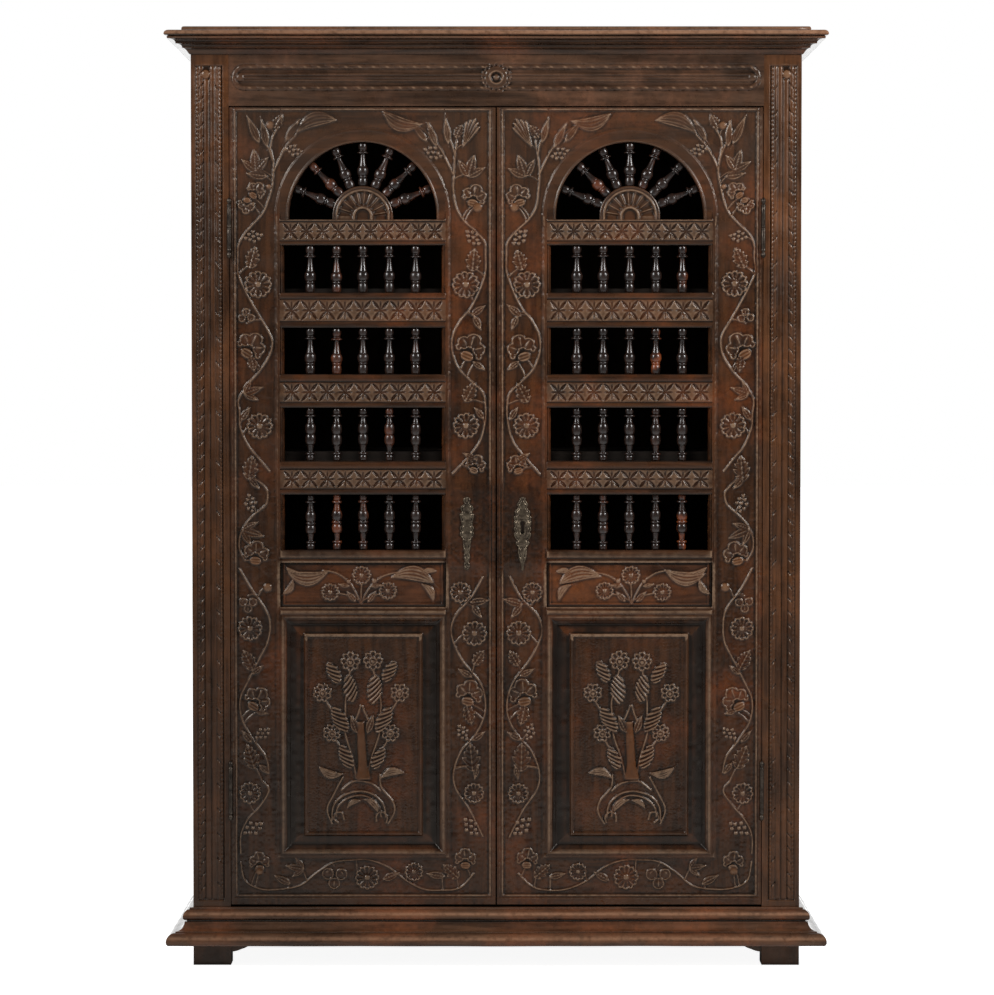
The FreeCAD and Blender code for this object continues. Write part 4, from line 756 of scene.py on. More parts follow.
FINE, EVEN = linspace(0, 1, 13), linspace(0, 1, 9)
ARCHED = np.sin(linspace(-pi / 2, pi / 2, 13))
TURNINGS = {
    "ball": ((ARCHED + 1) / 2, dome(ARCHED)), "sweep": (FINE, FINE ** 1.9), "flare": (EVEN, eased(EVEN)),
    "disc": (array([0, 0.12, 0.3, 0.5, 0.7, 0.88, 1]), array([0, 0.7, 0.95, 1, 0.95, 0.7, 0])),
}
BALUSTER = (("ball", 17, 6, 9.6), ("disc", 3, 6, 8.5), ("disc", 5, 6.5, 12.2), ("sweep", 28, 5.2, 9.2),
            ("ball", 18, 8.6, 12.4), ("disc", 5, 7, 9.8), ("ball", 19, 7.5, 10.4))
DOUBLE_BALL = (("ball", 13, 5.5, 8.8), ("disc", 5, 6, 11.5), ("flare", 12, 5.6, 7.5), ("ball", 20, 7.5, 11.4),
               ("ball", 19, 7.6, 11.2), ("flare", 13, 7.2, 5.4), ("disc", 5, 6.5, 11), ("ball", 11, 6, 8.6))
DISC_BETWEEN = (("ball", 11, 5.5, 8), ("disc", 5, 6, 11.2), ("flare", 14, 5.6, 7.5), ("ball", 18, 7.5, 11.4),
                ("disc", 6, 6, 11), ("ball", 17, 7.5, 11.2), ("flare", 14, 6.8, 5.4), ("disc", 5, 6.5, 10.6),
                ("ball", 12, 6, 8.8))


def lathe(shape, start, axis, profile, segments=32, tint=0.0):
    """A turning from start along a unit axis: the profile is distances and radii."""
    side = np.cross(axis, (0, 1, 0))
    side = side / np.linalg.norm(side)
    turn = linspace(0, 2 * pi, segments, endpoint=False)[:, None]
    ring = np.cos(turn) * side + np.sin(turn) * np.cross(axis, side)
    distance, radius = np.transpose(profile)
    points = start + distance[:, None, None] * np.asarray(axis, float) + radius[:, None, None] * ring
    i = np.arange(len(radius) - 1)[:, None] * segments
    k = np.arange(segments)
    after = (k + 1) % segments
    faces = stack([i + k, i + after, i + segments + after, i + segments + k], axis=-1).reshape(-1, 4)
    level = np.convolve(np.pad(radius, 3, mode="edge"), np.full(7, 1 / 7), mode="valid")
    shape.add(points, faces, np.repeat((radius - level) * 0.5, segments), tint, smooth=True)
    shape.cap(points[0], True, tint)
    shape.cap(points[-1], False, tint)


def spindle(shape, parts, start, axis, length, rng, loose, mean, spread):
    """One turning, a little unlike the others, a few of them reddish."""
    shares = [share * rng.uniform(1 - loose, 1 + loose) for _, share, *_ in parts]
    at, profile = 0.0, []
    for (kind, _, low, high), share in zip(parts, shares):
        run = share / sum(shares) * length
        places, swell = TURNINGS[kind]
        profile.append(stack([at + run * places, low + (high - low) * swell], axis=1))
        at += run
    profile = vstack(profile) * (1, rng.uniform(0.96, 1.02))
    lathe(shape, array(start), axis, profile, tint=max(0.0, rng.normal(mean, spread)))


def gallery_spindles(shape, rng, gap=0.2):
    for (z0, z1), parts in zip(OPENINGS, (DISC_BETWEEN, DOUBLE_BALL, BALUSTER, BALUSTER)):
        for k in range(-2, 3):
            start = (MIDDLE + SPINDLE_PITCH * k, SPINDLE_Y, z1 - gap)
            spindle(shape, parts, start, (0, 0, -1), z1 - z0 - 2 * gap, rng, 0.07, -0.05, 0.35)


def fan_spindles(shape, rng, gap=0.3):
    reach = ARCH_RADIUS - gap
    for k in range(1, 8):
        c, s = cos(k * pi / 8), sin(k * pi / 8)
        start = (MIDDLE + reach * c, SPINDLE_Y, SPRING + reach * s)
        spindle(shape, BALUSTER, start, (-c, 0, -s), reach - HUB_RADIUS - gap, rng, 0.05, 0.05, 0.2)


# Mouldings: outlines as runs of points, out from the case and up, each with its relief along the run; the
# relief paints highlights on noses, beads and rounded edges and shade lines in quirks and coves

def arc(cu, cv, ru, rv, start, end, count=9):
    t = np.radians(linspace(start, end, count))
    return stack([cu + ru * np.cos(t), cv + rv * np.sin(t)], axis=1)


CORNICE = (
    ((0, 0, 2, 0), (-1, -2)),
    ((2, 0, 3.6, 1.6, 5.4, 4, 7, 6.6, 9.2, 9.2, 12, 11.4, 15, 12.6), (-1.4, -0.8, -1.6)),
    ((15, 12.6, 16.8, 12.6, 16.8, 14.6), (0.3, 1.2, 0.8)),
    (arc(28, 14.6, 11.2, 6, 180, 90), (-1.6, -1.2, -2.0)),
    ((28, 20.6, 29.6, 20.6, 29.6, 24.4, 30.6, 24.4), (-0.5, 1.0, 0.8, -1.5)),
    (arc(43.5, 24.4, 12.9, 5.6, 180, 90), (-1.4, 0.0, -1.4)),
    ((43.5, 30, 46, 30, 46, 34.8, 44.5, 35.4, 44.5, 36.4, 48.6, 36.4), (-0.5, 1.4, 1.4, -2.4, -2.4, -1.6)),
    (vstack([arc(48.6, 39.2, 3.8, 2.8, -90, 0, 6)[:-1], arc(41.4, 39.2, 11, 8.8, 0, 90, 14)]),
     (-1.2, 1.0, 2.4, 3.2, 2.6, 2.0, 2.0)),
    ((41.4, 48, 0, 48), (0.5, 0)),
    ((0, 48, 0, 0), (0, 0)),
)
BASE = (
    ((0, 5, 46, 5), (-1, -1)),
    (vstack([arc(46, 13.5, 8.5, 8.5, -90, 0, 7)[:-1], arc(37, 14, 17.5, 18, 0, 84, 15)]),
     (-0.5, 0.3, 0.9, 2.4, 1.4, 1.0, 0.6)),
    ((38.8, 31.9, 35.5, 31.9, 35.5, 34.4, 34.6, 34.4), (-2.4, -1.6, 1.4, 0.2)),
    (arc(34.6, 53, 17.1, 18.6, 270, 180, 13), (-0.8, 0.5, 0.8, 0.2)),
    ((17.5, 53, 13, 53, 13, 56, 14.6, 56), (-1.2, -2.6, -2.6, -1.4)),
    (vstack([arc(14.6, 62.2, 6.6, 6.2, -90, 0, 6)[:-1], arc(8, 62.2, 13.2, 16.2, 0, 85, 14)]),
     (-0.4, 0.6, 1.0, 2.6, 1.2, 0.6, 0.0)),
    ((9.1, 78.3, 7.6, 78.3, 7.6, 82, 0, 82), (-1.5, 0.4, 1.4, 0.5)),
    ((0, 82, 0, 5), (0, 0)),
)


def moulding(shape, runs, z0, side, rng):
    """One length of moulding: side is 0 for the front, -1 for the left and 1 for the right."""
    count = 60 if side else 160
    s = linspace(0, 1, count)
    waves = zip((0.35, 0.25, 0.15), (7, 17, 43), rng.uniform(0, 6, 4))  # the fourth draw isn't used
    sway = sum(height * np.sin(rate * s + phase) for height, rate, phase in waves)
    sway *= unit(minimum(s, 1 - s) * 12)

    def placed(run, s, sway):
        out, up = run[:, :1], run[:, 1:]
        loose = unit(out / 12) * sway
        z = z0 + up + 0.8 * np.roll(loose, 9, axis=1)
        if side:
            return grid(side * (HALF_WIDTH + out + loose), FRONT - out + (BACK - FRONT + out) * s, z)
        return grid((2 * s - 1) * (HALF_WIDTH + out), FRONT - out - loose, z)

    runs = [(reshape(run, (-1, 2)), relief) for run, relief in runs]
    for run, relief in runs:
        shares = interp(linspace(0, 1, len(run)), linspace(0, 1, len(relief)), relief)
        shape.sheet(placed(run, s, sway), shares[:, None], smooth=len(run) > 5, flip=side < 0)
    outline = vstack([run[:-1] for run, _ in runs])
    for end in (0, 1):
        shape.cap(placed(outline, end, 0.0)[:, 0], (end == 0) == (side >= 0))


def top_slab(shape):
    """The board on the cornice, its edges rounded: inset, height and relief of each ring."""
    rings = array([(3, 1988.0, -1), (0.8, 1988.8, 0), (0, 1990.6, 1), (0, 1993.4, 2), (0.8, 1996.0, 1.6),
                   (2.6, 1997.4, 0.8), (5, 1998.0, 0.2)])
    t = np.arange(157) / 39
    x = interp(t, range(5), (-1, 1, 1, -1, -1)) * (HALF_WIDTH + TOP_OVERHANG - rings[:, :1])
    y = mixed(FRONT - TOP_OVERHANG + rings[:, :1], BACK - rings[:, :1], interp(t, range(5), (0, 0, 1, 1, 0)))
    points = shape.sheet(grid(x, y, rings[:, 1:2]), rings[:, 2:])
    shape.cap(points[-1, :-1])
    shape.cap(points[0, :-1], flip=True)


def lapped_boards(shape, count):
    """The boards of the back, lapped on each other so that no light comes through."""
    xs = linspace(-POST_INNER, POST_INNER, count + 1)
    for x0, x1 in zip(xs, xs[1:]):
        left, left_lap = (x0, x0) if x0 == xs[0] else (x0 + 0.3, x0 + 4.3)
        right, right_lap = (x1, x1) if x1 == xs[-1] else (x1 - 0.3, x1 + 4.0)
        ring = array([(left_lap, 263.5), (right_lap, 263.5), (right_lap, 269), (right, 269), (right, 274.3),
                      (x1 - 1.5, BACK), (x0 + 1.5, BACK), (left, 274.3), (left, 269.3), (left_lap, 269.3)])
        shape.prism(ring, linspace(BASE_BOTTOM, CASE_TOP, 40), 2)


def foot_bracket(shape, side):
    """The long low bracket between a front foot and the base."""
    ring = array([(0, 27.5), (7, 27.8), (14, 29.6), (22, 32.8), (29, 35.2), (35, 38.2), (40, 43), (42, 49),
                  (42, 62), (0, 62)])
    ring[:, 0] = side * (POST_INNER - ring[:, 0])
    shape.prism(ring, (FRONT + 6, FRONT + 28), 1, flip=side < 0)


# The case's carved faces

def post_field(seed):
    """The left front post: beaded lines, notched rolls and reeds in a long channel."""
    rng = np.random.default_rng(seed)
    field = Field(spaced([-HALF_WIDTH, -POST_INNER], 1.0), spaced([0, 138, 1919, CASE_TOP], 1.8))
    u, z = field.x + HALF_WIDTH, field.z
    run = minimum(z - 139, 1917 - z)
    channel = minimum(minimum(u - 10.2, 67 - u), run)
    height = -4.6 * step(channel - 0.6, 2.4)
    painted_glints = np.zeros(u.shape)
    for centre, radius, top, slant in ((14.0, 2.7, -1.2, 0), (21.2, 4.9, -0.8, -1), (33.0, 6.6, -0.2, 0),
                                       (45.8, 6.1, -0.2, 0), (55.4, 3.9, -0.8, 1), (62.0, 2.7, -1.2, 0)):
        offset = u - centre
        length = unit((run if centre != 33.0 else minimum(z - 139, 1889 - z)) / 8)
        body = top - 0.75 * radius + 0.75 * radius * dome(offset / radius) * dome(1 - length)
        if radius < 3:
            gap = z % 9.2 - 4.6
            body -= 0.9 * (1 - bump(gap, 2.8))
            painted_glints += 1.5 * bump(gap, 1.8) * bump(offset, 1.4)
        if slant:
            pitch = 28 if slant < 0 else 53
            cut = (z + slant * offset * 1.1 + 12 * slant) % pitch - pitch / 2
            body -= 2.8 * unit(1 - abs(cut) / 3.0)
            painted_glints += 1.5 * bump(cut + 4.5, 1.6) * bump(offset, 0.7 * radius)
        height = where((abs(offset) < radius) & (length > 0), maximum(height, body), height)
    field.h = where(channel > -1, height, 0) + 0.5 * bump(channel + 2.2, 1.4)
    # The bud at the top of the channel carries a painted highlight.
    field.stamp("berry", 31.5 - HALF_WIDTH, 1898, 9.5, 0, 0.8, shine=1.5)
    field.uneven(9, 0.2, rng)
    field.uneven(70, 0.6, rng)
    field.finish()
    # Painted glints: bright dots along the beaded lines and on one wall of each notch, added to the relief.
    field.relief = 0.7 * field.relief + painted_glints * (run > 4)
    return field


def frieze_field(seed):
    """The rail over the doors: a sunk band with ropes, reeds and a rosette."""
    rng = np.random.default_rng(seed)
    field = Field(spaced([-POST_INNER, POST_INNER]), spaced([FRIEZE_BOTTOM, CASE_TOP], 1.3))
    sunk, rope_half, rope_pitch, reed_half, reed_end, wheel_size = 28.5, 5.6, 29, 3.1, 17, 31.5
    x, v = field.x, field.z - FRIEZE_MIDDLE
    run = POST_INNER - 6 - abs(x)
    centre = minimum(run - sunk, 0)
    middle = hypot(centre, v)
    field.h -= 4.2 * step(sunk - middle, 1.6)
    track = middle - sunk + 5.5
    length = where(centre < 0, 5 * arctan2(v, centre), 0) + x * np.sign(v)
    cut = (length + 0.9 * track) % rope_pitch - rope_pitch / 2
    notch = abs(cut) - rope_pitch / 2
    rope = -4.4 + 0.95 * rope_half * dome(track / rope_half) - 1.2 * bump(cut, 3.4) + 0.7 * bump(notch, 4)
    field.put(abs(track) < rope_half, maximum(field.h, rope))
    ends = dome(1 - unit((run - reed_end) / 5))
    for offset in (v + 2 * reed_half, v, v - 2 * reed_half):
        reed = -4.3 + 1.15 * reed_half * dome(offset / reed_half) * ends
        field.put((abs(offset) < reed_half) & (run > reed_end), maximum(field.h, reed))
    for side in (-1, 1):
        field.stamp("berry", side * (POST_INNER - 24.5), FRIEZE_MIDDLE, 8.5, 0, 1.4)
    field.stamp("wheel", 0, FRIEZE_MIDDLE, wheel_size, 0, 2.0)
    field.uneven(12, 0.3, rng)
    field.uneven(80, 0.7, rng)
    field.finish()
    # Away from the rosette the relief's colour is halved; painted highlight dashes are added along the ropes.
    away = hypot(x, v) > wheel_size + 1.5
    field.relief = where(away, 0.5 * field.relief, field.relief)
    field.relief += 2.6 * bump(notch, 2.6) * bump(track + 1, 1.6) * away
    return field


# Metalwork

def hinge_barrel(shape, x, split, up):
    """Half a barrel hinge from the split between its knuckles to its finial, with its leaf."""
    turns = ((0, 3.9), (0.6, 4.6), (3.2, 4.6), (3.8, 4.2), (4.4, 4.5), (44, 4.5), (45, 4.1), (46, 4.9),
             (48, 5.0), (49, 4.2), (50.3, 3.2), (51.5, 3.0), (53, 4.0), (55, 4.9), (57, 5.1), (59, 4.8),
             (61, 3.8), (62.6, 2.4), (63.6, 1.5), (64, 0.4))
    lathe(shape, array([x, HINGE_Y, split + 0.3 * up]), (0, 0, up), turns, segments=28)
    middle = split + 25 * up
    corners = [(x + a, y, middle + b) for y in (-224.9, -202.5)
               for a, b in ((-0.7, -18), (0.7, -18), (0.7, 18), (-0.7, 18))]
    shape.add(corners, [(0, 1, 2, 3), (5, 4, 7, 6), (4, 0, 3, 7), (1, 5, 6, 2), (3, 2, 6, 7), (4, 5, 1, 0)])


def hinges(shape, sides, up):
    for middle in HINGE_HEIGHTS:
        for side in sides:
            hinge_barrel(shape, side * HINGE_X, middle, up)


def escutcheon(shape, x, width, outline, hole):
    """A cast plate with a beaded edge and a swelling middle."""
    curve = smooth_line(reshape(outline, (-1, 2)) * (PLATE_LENGTH, width / 2), 1.0)
    up = linspace(0, 1, 130)[:, None] * PLATE_LENGTH
    half = maximum(interp(up, curve[:, 0], curve[:, 1]), 0.3)
    u = linspace(-1, 1, 31)
    across, z = half * u, PLATE_BOTTOM + up
    inside = half * (1 - abs(u))
    lift = 0.8 + (1.2 + 3.2 * half / (width / 2)) * dome(u)
    lift += 0.9 * bump(inside - 2.0, 1.3) * (0.5 + 0.5 * np.cos(2 * pi * z / 6.5)) * (half > 6)
    lift -= 1.0 * bump(inside - 4.4, 1.1) * (half > 6)
    lift += 0.7 * np.cos(2 * pi * z / 19 + 2) * step(inside - 3, 3)
    lift[:, [0, -1]] = 0
    if hole:
        eye = hypot(across, z - KEYHOLE_HEIGHT) - 4.4
        slot = maximum(abs(across) - 2.6, maximum(z - KEYHOLE_HEIGHT, 924 - z))
        gap = minimum(eye, slot)
        lift = where(gap < 0.8, minimum(lift, -1.5 + 5.0 * unit(gap)), lift) + 0.8 * bump(gap - 2.4, 1.0)
    shape.sheet(grid(x + across, FRONT - lift, z), (lift - blur(lift, 3)) * 1.5)


# Materials

def linear(colour):
    """Scene colour from an 8-bit screen colour."""
    channels = (v / 255 for v in colour)
    return (*(c / 12.92 if c <= 0.04045 else ((c + 0.055) / 1.055) ** 2.4 for c in channels), 1.0)


class Nodes:
    """Short calls for the nodes of a material or of the world. Colours are 8-bit screen colours."""

    def __init__(self, owner, coordinates="Object"):
        owner.use_nodes = True
        self.owner, self.tree = owner, owner.node_tree
        self.tree.nodes.clear()
        self.place = self.add("ShaderNodeTexCoord")[coordinates]
        self.axes = self.add("ShaderNodeSeparateXYZ", {0: self.place})

    def add(self, kind, inputs={}, **settings):
        """Adds a node, each input a value or another node's output, and returns its outputs."""
        node = self.tree.nodes.new(kind)
        for name, value in settings.items():
            setattr(node, name, value)
        for name, value in inputs.items():
            if isinstance(value, bpy.types.NodeSocket):
                self.tree.links.new(value, node.inputs[name])
            else:
                node.inputs[name].default_value = value
        return node.outputs

    def noise(self, scale, detail=3.0, roughness=0.5, distortion=0.0, stretch=None):
        place = self.place
        if stretch:
            place = self.add("ShaderNodeMapping", {"Vector": place, "Scale": stretch})[0]
        return self.add("ShaderNodeTexNoise", {"Vector": place, "Scale": scale, "Detail": detail,
                                               "Roughness": roughness, "Distortion": distortion})["Fac"]

    def fade(self, value, low, high, out_low=0.0, out_high=1.0, kind="SMOOTHSTEP"):
        ends = {"From Min": low, "From Max": high, "To Min": out_low, "To Max": out_high}
        return self.add("ShaderNodeMapRange", {"Value": value, **ends}, interpolation_type=kind)[0]

    def attribute(self, name):
        return self.add("ShaderNodeAttribute", attribute_name=name)["Fac"]

    def product(self, first, second, operation="MULTIPLY"):
        return self.add("ShaderNodeMath", {0: first, 1: second}, operation=operation, use_clamp=True)[0]

    def choice(self, share, first, second):
        return self.add("ShaderNodeMixShader", {0: share, 1: first, 2: second})[0]

    def colour(self, share, first, second, *layers):
        """A blend of two colours, with layers of a share and a colour over it."""
        mix = self.add("ShaderNodeMix", {0: share, 6: linear(first), 7: linear(second)}, data_type="RGBA")[2]
        for share, over in layers:
            mix = self.add("ShaderNodeMix", {0: share, 6: mix, 7: linear(over)}, data_type="RGBA")[2]
        return mix

    def surface(self, colour, roughness, height, strength, distance, **values):
        normal = self.add("ShaderNodeBump", {"Strength": strength, "Distance": distance, "Height": height})[0]
        values = {name.replace("_", " "): value for name, value in values.items()}
        return self.add("ShaderNodeBsdfPrincipled",
                        {"Base Color": colour, "Roughness": roughness, "Normal": normal, **values})[0]

    def finished(self, shader, kind="Material"):
        self.add(f"ShaderNodeOutput{kind}", {"Surface": shader})
        return self.owner


def wood(name, grain, deep, body, warm, worn_and_highlight, patch=0.55, gloss=(0.24, 0.38), warmth=0.75, foot_shade=0.32,
         specular=0.32, coat=0.0, upper_dust_and_sheen=0.0, rear=0.0):
    """Waxed carved wood: grain streaks, warm patches, hollows darkened by dark wax and painted shade, ridges
    lightened by wear and painted highlight, and painted shade towards the foot and the left side.
    """
    n = Nodes(bpy.data.materials.new(name))
    stretch = [5 if axis == grain else 60 for axis in "xyz"]
    streaks, fine = n.noise(1.0, 6, 0.65, 0.4, stretch), n.noise(1.0, 2, stretch=[9 * v for v in stretch])
    cloud, mottle, relief = n.noise(6.5, 4, 0.6), n.noise(95.0, 3, 0.6), n.attribute("relief")
    patches = n.product(n.fade(cloud, patch - 0.1, patch + 0.2), n.fade(mottle, 0.2, 0.75, 0.35, 1.0))
    raised = n.product(n.fade(relief, 0.7, 3.0), n.fade(mottle, 0.22, 0.6, 0.3, 1.0))
    layers = [
        (n.product(patches, warmth), warm),
        # Ridges take a lighter colour: wear together with painted highlight.
        (n.product(raised, 0.8), worn_and_highlight),
        (n.product(n.attribute("tint"), n.fade(mottle, 0.2, 0.6, 0.4, 0.75)), GOLDEN),
        # Hollows darkened: dark wax together with painted shade.
        (n.product(n.fade(relief, -0.1, -2.6), 0.9), BLACK),
        # Painted shade: darker towards the foot and towards the left side, as the light falls.
        (n.product(n.fade(n.axes[2], 0.1, 1.75, foot_shade, 0.0),
                   n.fade(n.axes[0], -0.65, 0.1, 0.26, 0.0), "ADD"), BLACK)]
    # Greyer towards the top: dust together with painted sheen.
    if upper_dust_and_sheen:
        layers.append((n.fade(n.axes[2], 1.35, 1.8, 0.0, upper_dust_and_sheen), (82, 68, 58)))
    if rear:
        layers.append((n.fade(n.axes[1], 0.268, 0.2735, 0.0, rear), (126, 96, 70)))
    height = n.product(n.product(streaks, 0.5), n.product(fine, 0.5), "ADD")
    return n.finished(n.surface(
        n.colour(n.fade(streaks, 0.32, 0.68), deep, body, *layers), n.fade(n.noise(30.0), 0.3, 0.7, *gloss),
        height, 0.22, 0.0005, Specular_IOR_Level=specular, Specular_Tint=(1.0, 0.92, 0.84, 1.0),
        Coat_Weight=coat, Coat_Roughness=0.08, Coat_IOR=1.6))


def turned_wood(name):
    """Dark polished turnings, a few of them reddish."""
    n = Nodes(bpy.data.materials.new(name))
    streaks, cloud = n.noise(1.0, 4, 0.6, 0.3, (90, 90, 22)), n.noise(28.0)
    # Grooves between the turned parts are darkened with painted shade.
    colour = n.colour(n.fade(streaks, 0.3, 0.7), (18, 11, 8), (38, 24, 18),
                      (n.product(n.attribute("tint"), n.fade(cloud, 0.45, 0.66)), (128, 62, 26)),
                      (n.product(n.fade(n.attribute("relief"), -0.1, -1.0), 0.8), (9, 6, 5)))
    return n.finished(n.surface(colour, n.fade(cloud, 0.3, 0.7, 0.24, 0.34), streaks, 0.02, 0.0001,
                                Specular_IOR_Level=0.55))


def metal(name, dark, light, tarnish, *gloss):
    """Old iron or tarnished brass."""
    n = Nodes(bpy.data.materials.new(name))
    cloud, spots = n.noise(70.0, 5, 0.65), n.noise(260.0, 3, 0.6)
    colour = n.colour(n.fade(cloud, 0.32, 0.68), dark, light,
                      (n.product(n.fade(spots, 0.5, 0.68), 0.7), tarnish),
                      (n.product(n.fade(n.attribute("relief"), -0.05, -0.9), 0.8), (14, 10, 8)))
    return n.finished(n.surface(colour, n.fade(spots, 0.3, 0.7, *gloss), cloud, 0.12, 0.0003, Metallic=0.85))


# Colours of the woods: deep grain, body, warm patches, and a ridge colour that paints wear and highlight
# together
GOLDEN, BLACK = (112, 68, 34), (9, 5, 3)
WORN_AND_HIGHLIGHT = (134, 108, 86)
DOOR = (34, 18, 8), (68, 40, 21), (112, 58, 28), WORN_AND_HIGHLIGHT
SIDE = (30, 18, 10), (62, 40, 26), (98, 58, 32), WORN_AND_HIGHLIGHT
# The inside woods are darker than the outer ones, which paints part of the shade inside the case; the back's
# outer face gets a lighter wood colour.
INNER = (12, 8, 5), (28, 18, 12), (40, 24, 14), (36, 26, 18)
dull = {"gloss": (0.6, 0.8), "warmth": 0.4}
door_wood = wood("door_wood_upright", "z", *DOOR, upper_dust_and_sheen=0.16)
rail_wood = wood("door_wood_rails", "x", *DOOR, patch=0.58, upper_dust_and_sheen=0.16)
tablet_wood = wood("door_wood_tablet", "x", (40, 21, 11), (82, 48, 28), (120, 66, 32), WORN_AND_HIGHLIGHT, patch=0.48)
post_wood = wood("case_wood_upright", "z", (44, 25, 12), (82, 51, 30), (112, 68, 38), (122, 90, 66),
                 foot_shade=0.3)
case_wood = wood("case_wood_level", "x", (38, 25, 17), (75, 53, 39), (110, 74, 54), (120, 94, 74),
                 foot_shade=0.1)
moulding_wood = wood("case_wood_mouldings", "x", (38, 23, 14), (80, 55, 39), (118, 68, 42), (142, 106, 82),
                     patch=0.5, foot_shade=0.0, gloss=(0.22, 0.34))
side_wood = wood("case_wood_sides", "y", *SIDE, gloss=(0.4, 0.6), specular=0.2)
return_wood = wood("case_wood_returns", "y", *SIDE, coat=1.0)
inner_wood = wood("inner_wood_boards", "x", *INNER, **dull)
inner_upright = wood("inner_wood_upright", "z", *INNER, **dull)
back_wood = wood("inner_wood_back", "z", (12, 8, 5), (30, 20, 13), (44, 27, 16), (40, 30, 20), specular=0.12,
                 rear=0.55, **dull)
spindle_wood = turned_wood("turned_wood")
iron = metal("hinge_iron_old", (40, 35, 31), (74, 66, 58), (40, 26, 18), 0.32, 0.55)
brass = metal("escutcheon_brass_old", (60, 51, 42), (108, 96, 80), (44, 34, 27), 0.34, 0.48)


# Assembly

def side_beads(shape, rng):
    """Slim upright mouldings at both sides of each opening."""
    # The relief paints a highlight along each bead and shade beside it.
    reach, depth, relief = np.transpose([
        (0, -221.0, -1), (1.0, -222.6, 0.6), (2.6, -223.2, 1.2), (4.2, -222.6, 0.8), (5.2, -221.0, -1),
        (5.6, -219.4, -1.5), (7.2, -218.6, 0), (9.5, -216.4, 0.3), (10.8, -213.0, 0.2), (11, BEAD_BACK, 0)])
    for z0, z1 in OPENINGS:
        for side, edge in ((-1, LEFT), (1, RIGHT)):
            zs = linspace(z0, z1, 12)[:, None]
            x = edge - side * 0.68 * reach + rng.uniform(-0.2, 0.2, zs.shape)
            points = shape.sheet(grid(x, depth, zs), relief, flip=side > 0)
            shape.sheet(at_depth(points[:, [0, -1]], BEAD_BACK), smooth=False, flip=side < 0)


def dress_door(prefix, mirrored, seed):
    rng = np.random.default_rng(seed + 50)
    field = door_field(seed)

    def piece(suffix, material, *fills, slot="door_wood", names=None):
        replaced = [f"{prefix}_{name}" for name in ([suffix] if names is None else names)]
        made(f"{prefix}_{suffix}_carved", prefix, material, slot, replaced, *fills, mirrored=mirrored)

    for suffix, material, x0, x1, z0, z1, back, names in (
            ("hinge_stile", door_wood, DOOR_OUTER, LEFT, DOOR_BOTTOM, DOOR_TOP, DOOR_BACK, None),
            ("lock_stile", door_wood, RIGHT, DOOR_INNER, DOOR_BOTTOM, DOOR_TOP, DOOR_BACK, None),
            ("bottom_rail", rail_wood, LEFT, RIGHT, DOOR_BOTTOM, PANEL_BOTTOM, DOOR_BACK, None),
            ("lower_panel", door_wood, LEFT, RIGHT, PANEL_BOTTOM, PANEL_TOP, THIN_BACK,
             ["lower_panel", "panel_moulding"]),
            ("panel_rail", rail_wood, LEFT, RIGHT, PANEL_TOP, TABLET_BOTTOM, DOOR_BACK, None),
            ("frieze_panel", tablet_wood, LEFT, RIGHT, TABLET_BOTTOM, SILL_BOTTOM, TABLET_BACK, None),
            ("sill_rail", rail_wood, LEFT, RIGHT, SILL_BOTTOM, SILL_TOP, DOOR_BACK, None)):
        piece(suffix, material, (field.board, x0, x1, z0, z1, back), names=names)
    piece("gallery_rails", rail_wood,
          *((field.board, LEFT, RIGHT, z0, z1, DOOR_BACK) for z0, z1, *_ in RAILS))
    piece("arch_head", rail_wood, (arch_board, field))
    piece("fan_hub", rail_wood, (fan_hub,))
    piece("fan_spindles", spindle_wood, (fan_spindles, rng), slot="turned_wood")
    piece("gallery_spindles", spindle_wood, (gallery_spindles, rng), slot="turned_wood")
    piece("opening_beads", rail_wood, (side_beads, rng), names=[])
    piece("hinge_knuckles", iron, (hinges, (-1,), 1), slot="hinge_iron")


dress_door("left_door", False, 11)
dress_door("right_door", True, 23)
for door, x, width, outline, hole in (("left_door", -62.5, 32, LEFT_PLATE, False),
                                      ("right_door", 56.0, 40, RIGHT_PLATE, True)):
    made(f"{door}_escutcheon_cast", door, brass, "escutcheon_brass", [f"{door}_escutcheon"],
         (escutcheon, x, width, outline, hole))
made("case_hinge_barrels", "case", iron, "hinge_iron", ["case_hinge_knuckles"], (hinges, (-1, 1), -1))


def case_piece(name, material, replaced, *fills, slot="case_wood", mirrored=False):
    made(name, "case", material, slot, [replaced], *fills, mirrored=mirrored)


for post, flipped, seed in (("front_post_left", False, 5), ("front_post_right", True, 6)):
    case_piece(f"{post}_carved", post_wood, post,
               (post_field(seed).board, -HALF_WIDTH, -POST_INNER, 0, CASE_TOP, POST_BACK), mirrored=flipped)
case_piece("frieze_rail_carved", case_wood, "frieze_rail",
           (frieze_field(9).board, -POST_INNER, POST_INNER, FRIEZE_BOTTOM, CASE_TOP, FRIEZE_BACK))
moulding_rng = np.random.default_rng(3)
for runs, bottom, label in ((CORNICE, CORNICE_BOTTOM, "cornice"), (BASE, BASE_BOTTOM, "base_moulding")):
    case_piece(f"{label}_front_run", moulding_wood, f"{label}_front",
               (moulding, runs, bottom, 0, moulding_rng))
    case_piece(f"{label}_returns_run", return_wood, f"{label}_returns",
               *((moulding, runs, bottom, side, moulding_rng) for side in (-1, 1)))
case_piece("top_board_rounded", moulding_wood, "top_board", (top_slab,))
case_piece("back_boards_lapped", back_wood, "back_boards", (lapped_boards, 7), slot="inner_wood")
case_piece("foot_brackets_shaped", case_wood, "foot_brackets", (foot_bracket, -1), (foot_bracket, 1))

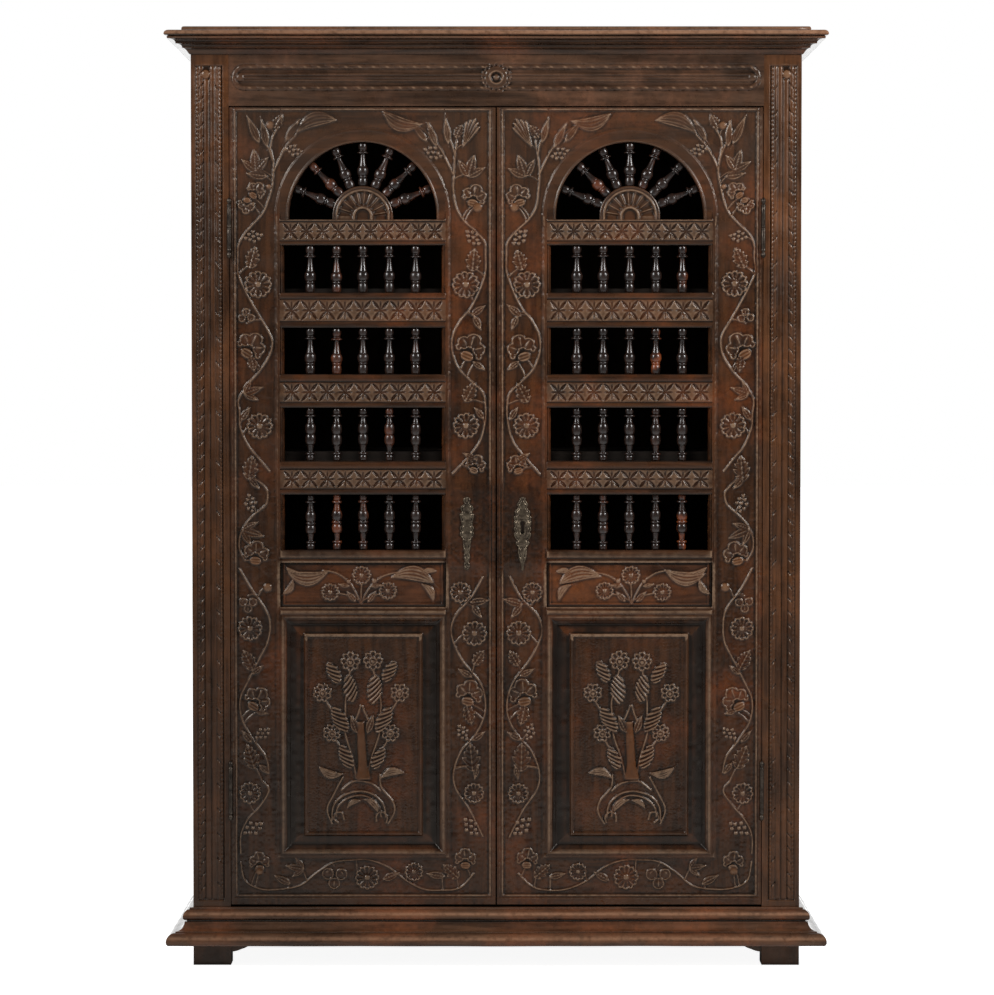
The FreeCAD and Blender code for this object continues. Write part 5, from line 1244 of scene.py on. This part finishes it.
KEPT = {
    post_wood: ("rear_post_left", "rear_post_right"),
    side_wood: ("side_rails",),
    door_wood: ("side_panels",),
    case_wood: ("front_bottom_rail",),
    inner_wood: ("back_rails", "bottom_board", "shelves", "door_stop_strip"),
    inner_upright: ("shelf_cleats",),
    iron: ("hinge_pins", "lock_case", "lock_bolt", "lock_keeper", "upper_bolt", "lower_bolt", "bolt_guides"),
}
for material, names in KEPT.items():
    for name in names:
        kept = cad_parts[name]
        for material_slot in kept.material_slots:
            material_slot.material = material
        if not kept.material_slots:
            kept.data.materials.append(material)
        soften = kept.modifiers.new("soften", "BEVEL")
        soften.width = 0.0008 if material is iron else 0.0016
        soften.segments = 2
        soften.limit_method = "ANGLE"
        soften.angle_limit = radians(40)


# Floor, light and camera

WHITE = (1.0, 1.0, 1.0, 1.0)


def white_floor(name, half, height, colour):
    """A white floor that shows as the backdrop, to the camera and in what is mirrored behind the case."""
    mesh = bpy.data.meshes.new(name)
    corners = ((-half, -half, height), (half, -half, height), (half, half, height), (-half, half, height))
    mesh.from_pydata(corners, [], [(0, 1, 2, 3)])
    obj = bpy.data.objects.new(name, mesh)
    scene.collection.objects.link(obj)
    n = Nodes(bpy.data.materials.new(name))
    soft = n.noise(2.0, 2)
    ends = {6: (colour, colour, colour, 1.0), 7: (*[0.99 * colour] * 3, 1.0)}
    shade = n.add("ShaderNodeMix", {0: n.fade(soft, 0.3, 0.7), **ends}, data_type="RGBA")[2]
    shader = n.surface(shade, n.fade(soft, 0.3, 0.7, 0.85, 0.95), soft, 0.02, 0.0005, Specular_IOR_Level=0.1)
    rays = n.add("ShaderNodeLightPath")
    behind = n.product(rays["Is Glossy Ray"], n.fade(n.axes[1], -0.1, 0.6))
    dark, glow = (n.add("ShaderNodeEmission", {"Color": WHITE, "Strength": p})[0] for p in (0.0, 0.92))
    seen = n.choice(n.product(rays["Is Camera Ray"], behind, "MAXIMUM"), dark, glow)
    mesh.materials.append(n.finished(n.add("ShaderNodeAddShader", {0: shader, 1: seen})[0]))


white_floor("floor", 30.0, -0.0005, 0.86)

# The world is white to the camera, dim on the wood, and bright where what lies behind the case is mirrored
sky = Nodes(bpy.data.worlds.new("studio"), "Generated")
rays = sky.add("ShaderNodeLightPath")
powers = (0.28, sky.fade(sky.axes["Y"], 0.55, 0.96, 0.12, 1.0, "LINEAR"), 1.0)
ambient, behind, white = (sky.add("ShaderNodeBackground", {"Color": WHITE, "Strength": p})[0] for p in powers)
seen = sky.product(rays["Is Camera Ray"], rays["Is Transmission Ray"], "MAXIMUM")
reflected = sky.choice(rays["Is Glossy Ray"], ambient, behind)
scene.world = sky.finished(sky.choice(seen, reflected, white), "World")

SOFTBOX_TARGET = (0, -0.2, 1.55)
for name, place, power in (("softbox_left", (-2.95, -2.2, 3.0), 116),
                           ("softbox_right", (2.95, -2.2, 3.0), 132)):
    light = bpy.data.lights.new(name, "AREA")
    light.shape, light.size, light.size_y, light.energy = "RECTANGLE", 0.95, 1.1, power
    softbox = bpy.data.objects.new(name, light)
    softbox.location = place
    softbox.rotation_euler = (Vector(SOFTBOX_TARGET) - Vector(place)).to_track_quat("-Z", "Y").to_euler()
    scene.collection.objects.link(softbox)

IMAGE_WIDTH, FOCAL_PIXELS, SENSOR_WIDTH, TILT = 994, 3431.5, 36.0, 2.118
camera_data = bpy.data.cameras.new("camera")
camera_data.sensor_fit = "HORIZONTAL"
camera_data.sensor_width = SENSOR_WIDTH
camera_data.lens = SENSOR_WIDTH * FOCAL_PIXELS / IMAGE_WIDTH
camera = bpy.data.objects.new("camera", camera_data)
camera.location = (0.0016, -7.5245, 1.2705)
camera.rotation_euler = (radians(90 - TILT), 0, 0)
scene.collection.objects.link(camera)
scene.camera = camera
scene.view_settings.view_transform = "Standard"

bpy.context.view_layer.update()
